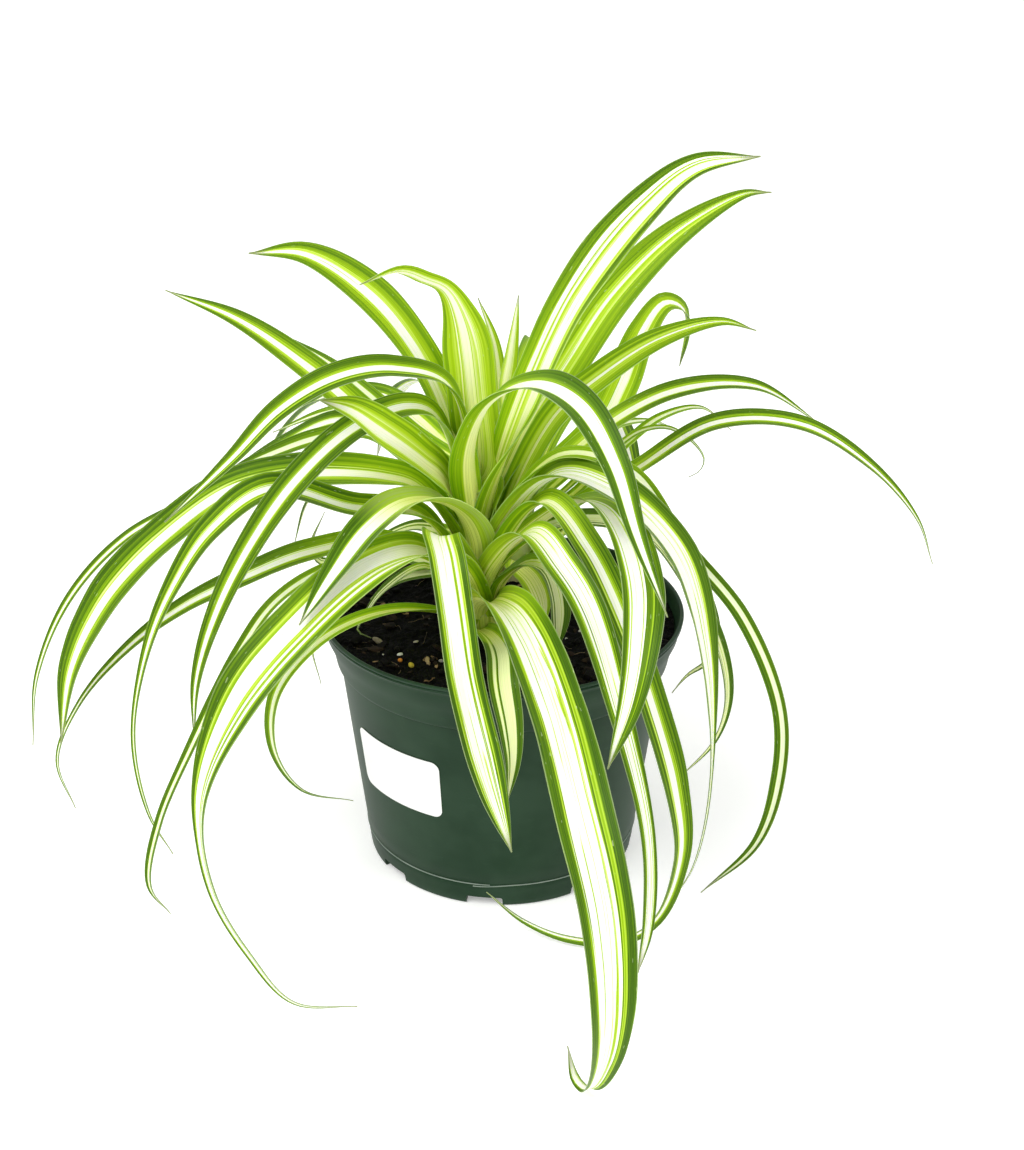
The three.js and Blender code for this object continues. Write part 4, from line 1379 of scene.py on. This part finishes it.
@dataclass
class Pot:
    """The nursery pot: a tapered wall, a flange with a doubled lip, and notches round the foot."""

    height: float = 121.0
    rim: float = 82.5
    base: float = 62.9
    draft: float = 0.118
    wall: float = 1.8
    floor: float = 2.0
    band: float = 98.6
    band_step: float = 1.6
    groove: float = 12.1
    sides: int = 192
    notches: int = 8
    notch_width: float = 16.5
    notch_height: float = 4.5
    notch_first: float = -6.5
    notch_depth: float = 18.0
    notch_round: float = 1.1
    seam_from: float = -11.0
    seam_to: float = -4.1
    seam_radius: float = 0.28
    seam_drop: float = 1.3
    seam_steps: int = 240

    def wall_radius(self, height: float) -> float:
        """The body's outer radius at a height."""
        return self.base + self.draft * height

    def profile(self) -> Rings:
        """Trace the pot's section up the outside, over the lip and down the inside.

        Returns:
            The radius and height of each ring.
        """
        foot = self.wall_radius(self.band) + self.band_step
        rim, top = self.rim, self.height
        outside = [(self.base - 1.2, 0.0), (self.base - 0.5, 0.15), (self.base - 0.1, 0.6)]
        outside += [(self.base + 0.1, 1.2), *((self.wall_radius(z), z) for z in (3.0, 6.0, 9.0, 11.4))]
        outside += [(self.wall_radius(self.groove) - 0.35, self.groove)]
        wall_heights = (12.8, 20.0, 32.0, 44.0, 56.0, 68.0, 80.0, 90.0, 96.0, 97.6)
        outside += [(self.wall_radius(z), z) for z in wall_heights]
        outside += [(foot - 0.9, 98.2), (foot - 0.3, 98.5), (foot + 0.1, 99.0), (foot + 0.35, 100.0),
                    (foot + 1.1, 104.0), (foot + 2.3, 108.0), (rim - 2.1, 112.5), (rim - 1.6, 116.0)]
        outside += [(rim - 1.35, 117.2), (rim - 0.75, 117.9), (rim - 0.35, 118.5), (rim - 0.45, 118.95),
                    (rim - 0.75, 119.2), (rim - 0.5, 119.6), (rim - 0.1, 120.0), (rim, 120.4)]
        outside += [(rim - 0.2, 120.8), (rim - 0.7, top), (rim - 1.3, top), (rim - 1.8, 120.7)]
        outside += [(rim - 2.1, 120.0)]
        inside = [(rim - 2.9, 118.0), (foot + 1.4, 110.0), (foot - 0.4, 104.0), (foot - 1.6, 99.6)]
        inside += [(self.wall_radius(z) - self.wall, z) for z in (96.6, 70.0, 40.0, 12.0, 3.0)]
        return outside + inside + [(self.wall_radius(2.0) - self.wall - 1.0, self.floor)]

    def build(self) -> None:
        """Make the pot and the fine mould line round its foot."""
        piece = Bench.turned(self.profile(), self.sides)
        Bench.face_out(piece)
        cutter = self.notch_cutter()
        Bench.apply_modifier(piece, "BOOLEAN", object=cutter, operation="DIFFERENCE", solver="EXACT")
        bpy.data.objects.remove(cutter, do_unlink=True)
        Bench.face_out(piece)
        Bench.smooth(piece, 35.0)
        Bench.finish(piece, "pot_shell", "pot", [PotFinish().material()], "pot")
        self.mould_line()

    def notch_cutter(self) -> bpy.types.Object:
        """Make the blocks that cut the drain notches.

        Returns:
            The blocks, joined in one object.
        """
        blocks = []
        for number in range(self.notches):
            degrees = self.notch_first + 360.0 / self.notches * number
            place = bearing(degrees) * (self.base + 1.0) * MM
            turn = (0.0, 0.0, math.radians(degrees))
            bpy.ops.mesh.primitive_cube_add(size=1.0, location=tuple(place), rotation=turn)
            block = bpy.context.active_object
            block.scale = (self.notch_width * MM, self.notch_depth * MM, self.notch_height * 2.0 * MM)
            bpy.ops.object.transform_apply()
            bpy.ops.object.mode_set(mode="EDIT")
            bpy.ops.mesh.select_all(action="SELECT")
            bpy.ops.mesh.bevel(offset=self.notch_round * MM, segments=3, affect="EDGES")
            bpy.ops.object.mode_set(mode="OBJECT")
            blocks.append(block)
        return Bench.join(blocks)

    def mould_line(self) -> None:
        """Make the raised line where the mould's halves met, with its two ends lapped."""
        curve = Bench.new_curve("mould_line", self.seam_radius, 2)
        spline = curve.splines.new("POLY")
        spline.points.add(self.seam_steps)
        turn = 360.0 - self.seam_from + self.seam_to
        for number, point in enumerate(spline.points):
            share = number / self.seam_steps
            height = self.groove - self.seam_drop * (1.0 - smoothstep(share, 0.0, 0.05))
            place = bearing(self.seam_from + turn * share) * (self.wall_radius(height) + 0.02)
            point.co = (*(place * MM), 1.0)
            point.co.z = height * MM
        piece = Bench.curve_mesh(curve)
        Bench.face_out(piece)
        Bench.smooth(piece, 60.0)
        Bench.finish(piece, "pot_mould_line", "pot", [MouldLineFinish().material()])


@dataclass(frozen=True)
class LabelFinish:
    """White film with a faint mottle."""

    white: Colour = (0.86, 0.87, 0.85)
    mottled: Colour = (0.78, 0.80, 0.77)
    mottle_scale: float = 160.0
    grain_scale: float = 700.0

    def material(self) -> bpy.types.Material:
        """Make the finish.

        Returns:
            The material.
        """
        tree = NodeTree("label_film")
        place = tree.object_place()
        mottle = tree.noise(place, self.mottle_scale, 3.0)
        colour = tree.mix(tree.times(mottle, 0.5), self.white, self.mottled)
        tree.bump(tree.noise(place, self.grain_scale, 2.0), 0.02, 0.4)
        return tree.shade(colour, 0.38)


@dataclass
class Label:
    """The bare label: thin white film, curved with the wall, its four corners rounded."""

    start: float = -62.0
    end: float = -21.8
    bottom: float = 47.4
    height: float = 29.8
    corner: float = 4.0
    lift: float = 0.22
    thickness: float = 0.16
    columns: int = 72
    rows: int = 44

    def build(self, pot: Pot) -> None:
        """Wrap a grid round the pot's wall and give it its thickness.

        Args:
            pot: The pot that carries the label.
        """
        piece = Bench.grid(self.columns, self.rows)
        place = Bench.points(piece)
        rise = self.row_heights(place[:, 1] * 2.0)
        middle = math.radians((self.start + self.end) / 2.0)
        level = self.bottom + self.height / 2.0 + rise
        radius = np.array([pot.wall_radius(z) for z in level]) + self.lift
        half = math.radians(self.end - self.start) / 2.0 * radius
        past = np.maximum(0.0, np.abs(rise) - (self.height / 2.0 - self.corner))
        half -= self.corner - np.sqrt(np.maximum(0.0, self.corner ** 2 - past ** 2))
        angle = middle + place[:, 0] * 2.0 * half / radius
        points = np.stack([np.sin(angle) * radius, -np.cos(angle) * radius, level], axis=1)
        Bench.set_points(piece, points * MM)
        Bench.apply_modifier(piece, "SOLIDIFY", thickness=self.thickness * MM, offset=1.0)
        Bench.face_out(piece)
        Bench.smooth(piece, 50.0)
        Bench.finish(piece, "label_film", "label", [LabelFinish().material()], "label")

    def row_heights(self, rows: np.ndarray) -> np.ndarray:
        """Crowd the grid's rows into the rounded corners.

        Args:
            rows: The rows' places, from -1 to 1.

        Returns:
            Their heights from the label's middle.
        """
        bend = 0.5
        inside = self.height / 2.0 - self.corner
        turn = np.clip((np.abs(rows) - bend) / (1.0 - bend), 0.0, 1.0)
        height = np.minimum(np.abs(rows) / bend, 1.0) * inside + self.corner * np.sin(turn * math.pi / 2.0)
        return np.sign(rows) * height


@dataclass(frozen=True)
class SoilFinish:
    """Damp peat: near black, with paler crumbs."""

    dark: Colour = (0.0008, 0.0009, 0.0009)
    crumb: Colour = (0.0050, 0.0045, 0.0040)
    fleck: Colour = (0.10, 0.075, 0.05)
    clod_scale: float = 260.0
    crumb_scale: float = 1100.0

    def material(self) -> bpy.types.Material:
        """Make the finish.

        Returns:
            The material.
        """
        tree = NodeTree("soil_peat")
        place = tree.object_place()
        clods = tree.noise(place, self.clod_scale, 5.0, 0.7)
        crumbs = tree.noise(place, self.crumb_scale, 3.0, 0.6)
        colour = tree.mix(tree.spread(clods, 0.40, 0.66), self.dark, self.crumb)
        colour = tree.mix(tree.spread(crumbs, 0.68, 0.76, 0.0, 0.5), colour, self.fleck)
        tree.bump(tree.plus(clods, tree.times(crumbs, 0.5)), 1.2, 0.9)
        return tree.shade(colour, 0.75, Specular_IOR_Level=0.08)


@dataclass(frozen=True)
class FibreFinish:
    """Thin roots and husk, brown to straw."""

    brown: Colour = (0.035, 0.022, 0.012)
    straw: Colour = (0.16, 0.11, 0.06)

    def material(self) -> bpy.types.Material:
        """Make the finish.

        Returns:
            The material.
        """
        tree = NodeTree("soil_fibre")
        shade = tree.noise(tree.object_place(), 60.0, 2.0)
        return tree.shade(tree.mix(tree.spread(shade, 0.35, 0.65), self.brown, self.straw), 0.8)


@dataclass(frozen=True)
class Crumbs:
    """One kind of bit that lies on the soil."""

    name: str
    count: int
    low: float
    high: float
    stretch: tuple[float, float, float]
    first: Colour
    second: Colour
    roughness: float = 0.8
    blotch_scale: float = 170.0
    grain_scale: float = 900.0

    def material(self) -> bpy.types.Material:
        """Make the finish, blotched between its two colours.

        Returns:
            The material.
        """
        tree = NodeTree(f"soil_{self.name}")
        place = tree.object_place()
        blotch = tree.noise(place, self.blotch_scale, 3.0, 0.6)
        grain = tree.noise(place, self.grain_scale, 3.0, 0.6)
        colour = tree.mix(tree.spread(blotch, 0.36, 0.64), self.first, self.second)
        tree.bump(grain, 0.5, 0.8)
        return tree.shade(colour, self.roughness, Specular_IOR_Level=0.12)


@dataclass
class Soil:
    """The filling: a rough mound of peat, and the bark, fibres, grains and beads that lie on it."""

    radius: float = 78.3
    low_radius: float = 70.6
    level: float = 114.6
    mound: float = 1.8
    bottom: float = 92.0
    cells: int = 170
    clod_scale: float = 0.16
    clod_rise: float = 1.1
    lump_scale: float = 0.42
    lump_rise: float = 1.5
    kinds: tuple[Crumbs, ...] = (
        Crumbs("bark", 190, 1.0, 3.6, (1.6, 1.0, 0.45), (0.004, 0.003, 0.002), (0.024, 0.014, 0.008)),
        Crumbs("peat_lump", 200, 1.0, 3.0, (1.2, 1.0, 0.8), (0.001, 0.001, 0.001), (0.006, 0.005, 0.004)),
        Crumbs("grain", 26, 0.5, 1.1, (1.1, 1.0, 0.8), (0.42, 0.40, 0.36), (0.62, 0.60, 0.56)),
        Crumbs("husk", 34, 0.8, 2.2, (1.9, 0.8, 0.35), (0.16, 0.10, 0.05), (0.32, 0.22, 0.11)),
    )
    scatter_reach: float = 73.0
    scatter_seed: int = 11
    stones: tuple[tuple[Crumbs, float, float], ...] = (
        (Crumbs("bead_yellow", 1, 1.7, 1.7, (1.0, 1.0, 0.9), (0.60, 0.46, 0.04), (0.72, 0.58, 0.10)),
         -39.0, -50.0),
        (Crumbs("bead_orange", 1, 1.3, 1.3, (1.0, 1.0, 0.9), (0.62, 0.22, 0.03), (0.70, 0.30, 0.06)),
         -44.0, -45.0),
        (Crumbs("chip_tan", 1, 2.6, 2.6, (1.5, 0.7, 0.6), (0.36, 0.25, 0.13), (0.50, 0.38, 0.22)),
         -32.0, -46.0),
        (Crumbs("chip_grey", 1, 1.6, 1.6, (1.2, 1.0, 0.7), (0.55, 0.54, 0.50), (0.70, 0.69, 0.64)),
         -44.5, -38.0),
        (Crumbs("chip_dun", 1, 3.0, 3.0, (1.5, 0.8, 0.5), (0.22, 0.18, 0.13), (0.34, 0.29, 0.22)),
         -55.0, -27.0),
        (Crumbs("chip_pale", 1, 1.3, 1.3, (1.4, 0.9, 0.6), (0.34, 0.30, 0.24), (0.46, 0.42, 0.34)),
         -38.0, -29.5),
    )
    stone_seed: int = 40
    fibre_count: int = 40
    fibre_radius: float = 0.16
    fibre_reach: float = 74.0
    fibre_edge: float = 77.0
    fibre_points: int = 8
    fibre_step: float = 1.7
    fibre_lift: float = 0.25
    fibre_bend: float = 50.0

    def build(self) -> None:
        """Make the mound and everything that lies on it."""
        self.bed()
        chance = random.Random(self.scatter_seed)
        for kind in self.kinds:
            self.scatter(kind, chance)
        self.lay_stones()
        self.fibres(chance)

    def height(self, x: float, y: float) -> float:
        """Find how high the mound is at a place.

        Args:
            x: The place to the right, in millimetres.
            y: The place to the back.

        Returns:
            The height in millimetres.
        """
        share = min(1.0, math.hypot(x, y) / self.radius)
        place = Vector((x, y, 3.0))
        clods = noise.fractal(place * self.clod_scale, 0.8, 2.2, 4) * self.clod_rise
        lumps = abs(noise.noise(place * self.lump_scale)) * self.lump_rise
        return self.level + self.mound * (1.0 - share ** 2) + clods + lumps

    def bed(self) -> None:
        """Map a grid on a disc, raise it, and close it below."""
        piece = Bench.grid(self.cells, self.cells, 2.0)
        bpy.ops.object.mode_set(mode="EDIT")
        bpy.ops.mesh.extrude_region_move(TRANSFORM_OT_translate={"value": (0.0, 0.0, 1.0)})
        bpy.ops.object.mode_set(mode="OBJECT")
        points = Bench.points(piece)
        upper = points[:, 2] > 0.5
        x, y = points[:, 0].copy(), points[:, 1].copy()
        flat_x = x * np.sqrt(1.0 - y * y / 2.0)
        flat_y = y * np.sqrt(1.0 - x * x / 2.0)
        reach = np.where(upper, self.radius, self.low_radius)
        points[:, 0], points[:, 1] = flat_x * reach, flat_y * reach
        for point, is_upper in zip(points, upper):
            point[2] = self.height(point[0], point[1]) if is_upper else self.bottom
        Bench.set_points(piece, points * MM)
        Bench.face_out(piece)
        Bench.smooth(piece, 70.0)
        Bench.finish(piece, "soil_bed", "soil", [SoilFinish().material()], "soil")

    def scatter(self, kind: Crumbs, chance: random.Random) -> None:
        """Scatter one kind of bit over the mound.

        Args:
            kind: The kind of bit.
            chance: Seeded numbers.
        """
        pieces = []
        for _ in range(kind.count):
            reach = self.scatter_reach * math.sqrt(chance.random())
            spot = bearing(360.0 * chance.random()) * reach
            size = lerp(kind.low, kind.high, chance.random() ** 2)
            pieces.append(self.lump(spot, size, kind.stretch, chance))
        joined = Bench.join(pieces)
        Bench.smooth(joined, 32.0)
        Bench.finish(joined, f"soil_{kind.name}", "soil", [kind.material()])

    def lump(
        self,
        spot: np.ndarray,
        size: float,
        stretch: tuple[float, float, float],
        chance: random.Random,
    ) -> bpy.types.Object:
        """Make one uneven lump that lies on the mound.

        Args:
            spot: Its place on the level.
            size: Its radius.
            stretch: Its length, breadth and height, as shares of the size.
            chance: Seeded numbers.

        Returns:
            The lump.
        """
        height = self.height(spot[0], spot[1]) + size * stretch[2] * 0.4
        tilt = (chance.random() * 0.7 - 0.35, chance.random() * 0.7 - 0.35, TURN * chance.random())
        bpy.ops.mesh.primitive_ico_sphere_add(
            subdivisions=1, radius=size * MM, rotation=tilt,
            location=(spot[0] * MM, spot[1] * MM, height * MM),
        )
        piece = bpy.context.active_object
        for vertex in piece.data.vertices:
            vertex.co *= 0.78 + 0.44 * chance.random()
        piece.scale = stretch
        bpy.ops.object.transform_apply()
        return piece

    def lay_stones(self) -> None:
        """Lay the few coloured beads and pale bits that stand out on the left."""
        for number, (stone, x, y) in enumerate(self.stones):
            chance = random.Random(self.stone_seed + number)
            piece = self.lump(np.array([x, y, 0.0]), stone.low, stone.stretch, chance)
            Bench.apply_modifier(piece, "SUBSURF", levels=2, render_levels=2)
            Bench.smooth(piece, 80.0)
            Bench.finish(piece, f"soil_{stone.name}", "soil", [stone.material()])

    def fibres(self, chance: random.Random) -> None:
        """Lay thin root and husk fibres over the mound.

        Args:
            chance: Seeded numbers.
        """
        curve = Bench.new_curve("soil_fibres", self.fibre_radius, 1)
        for _ in range(self.fibre_count):
            spot = bearing(360.0 * chance.random()) * self.fibre_reach * math.sqrt(chance.random())
            heading = 360.0 * chance.random()
            bend = self.fibre_bend * (chance.random() - 0.5)
            spline = curve.splines.new("POLY")
            spline.points.add(self.fibre_points - 1)
            for point in spline.points:
                x, y = float(spot[0]), float(spot[1])
                share = min(1.0, self.fibre_edge / max(1.0, math.hypot(x, y)))
                height = self.height(x * share, y * share) + self.fibre_lift
                point.co = (x * share * MM, y * share * MM, height * MM, 1.0)
                spot = spot + bearing(heading) * self.fibre_step
                heading += bend
        piece = Bench.curve_mesh(curve)
        Bench.smooth(piece, 60.0)
        Bench.finish(piece, "soil_fibres", "soil", [FibreFinish().material()])


@dataclass(frozen=True)
class TableFinish:
    """A matt white table that glows a little, so that it stays as pale as the background."""

    white: Colour = (0.95, 0.95, 0.95)
    mottled: Colour = (0.93, 0.93, 0.93)
    glow: Colour = (1.0, 1.0, 0.98)
    glow_strength: float = 0.3

    def material(self) -> bpy.types.Material:
        """Make the finish.

        Returns:
            The material.
        """
        tree = NodeTree("table_white")
        mottle = tree.noise(tree.object_place(), 6.0, 2.0)
        colour = tree.mix(mottle, self.mottled, self.white)
        tree.feed(tree.shader.inputs["Emission Color"], self.glow)
        return tree.shade(colour, 0.9, Specular_IOR_Level=0.0, Emission_Strength=self.glow_strength)


@dataclass
class Studio:
    """A white table, soft light and the camera."""

    focal_pixels: float = 1700.0
    frame_pixels: float = 1150.0
    sensor: float = 36.0
    stand: tuple[float, float, float] = (4.177, -694.772, 466.116)
    right: tuple[float, float, float] = (0.999964, 0.0036398, 0.0076631)
    up: tuple[float, float, float] = (-0.0084835, 0.4290266, 0.903252)
    forward: tuple[float, float, float] = (0.0, 0.9032845, -0.429042)
    table_size: float = 24.0
    table_drop: float = 0.0002
    key_power: float = 46.0
    fill_power: float = 8.0
    sky_light: float = 0.85
    sky_seen: float = 0.15

    def build(self) -> None:
        """Set up the floor, the lights and the camera."""
        self.floor()
        self.world()
        self.light("key", (-1.1, -1.3, 2.4), 1.4, self.key_power)
        self.light("fill", (1.6, -1.6, 1.2), 1.2, self.fill_power)
        self.camera()

    def floor(self) -> None:
        """Lay the white table, just under the pot."""
        Bench.clear_selection()
        bpy.ops.mesh.primitive_plane_add(size=self.table_size, location=(0.0, 0.0, -self.table_drop))
        floor = bpy.context.active_object
        bpy.ops.object.transform_apply()
        floor.name = "table"
        floor.data.materials.append(TableFinish().material())

    def world(self) -> None:
        """Light the scene evenly from all round, with a background that is seen as plain white."""
        world = bpy.data.worlds.new("studio")
        bpy.context.scene.world = world
        world.use_nodes = True
        background = world.node_tree.nodes["Background"]
        background.inputs["Color"].default_value = (1.0, 1.0, 1.0, 1.0)
        seen = world.node_tree.nodes.new("ShaderNodeLightPath").outputs["Is Camera Ray"]
        strength = world.node_tree.nodes.new("ShaderNodeMath")
        strength.operation = "MULTIPLY_ADD"
        strength.inputs[1].default_value = self.sky_seen
        strength.inputs[2].default_value = self.sky_light
        world.node_tree.links.new(seen, strength.inputs[0])
        world.node_tree.links.new(strength.outputs[0], background.inputs["Strength"])
        bpy.context.scene.view_settings.view_transform = "Standard"

    @staticmethod
    def light(name: str, place: tuple[float, float, float], size: float, power: float) -> None:
        """Add one soft lamp that faces the plant.

        Args:
            name: The lamp's name.
            place: Its place, in metres.
            size: The side of its square.
            power: Its power in watts.
        """
        lamp = bpy.data.lights.new(name, "AREA")
        lamp.size = size
        lamp.energy = power
        holder = bpy.data.objects.new(name, lamp)
        holder.location = place
        aim = Vector((0.0, 0.0, 0.12)) - Vector(place)
        holder.rotation_euler = aim.to_track_quat("-Z", "Y").to_euler()
        bpy.context.collection.objects.link(holder)

    def camera(self) -> None:
        """Set the camera at the photograph's viewing angle."""
        lens = bpy.data.cameras.new("camera")
        lens.sensor_fit = "VERTICAL"
        lens.sensor_height = self.sensor
        lens.lens = self.focal_pixels / self.frame_pixels * self.sensor
        lens.clip_end = 60.0
        camera = bpy.data.objects.new("camera", lens)
        columns = [Vector(self.right), Vector(self.up), -Vector(self.forward)]
        turn = Matrix(columns).transposed().to_4x4()
        camera.matrix_world = Matrix.Translation(Vector(self.stand) * MM) @ turn
        bpy.context.collection.objects.link(camera)
        bpy.context.scene.camera = camera


def main() -> None:
    """Build the plant, its pot and its studio in order."""
    logging.basicConfig(level=logging.INFO, format="%(message)s")
    Studio().build()
    pot = Pot()
    pot.build()
    Label().build(pot)
    Soil().build()
    sheath = CrownFinish().material()
    for name, place in (("front", FRONT), ("back", BACK)):
        Crown(name, place).build(sheath)
    Foliage().build()


if __name__ == "__main__":
    main()
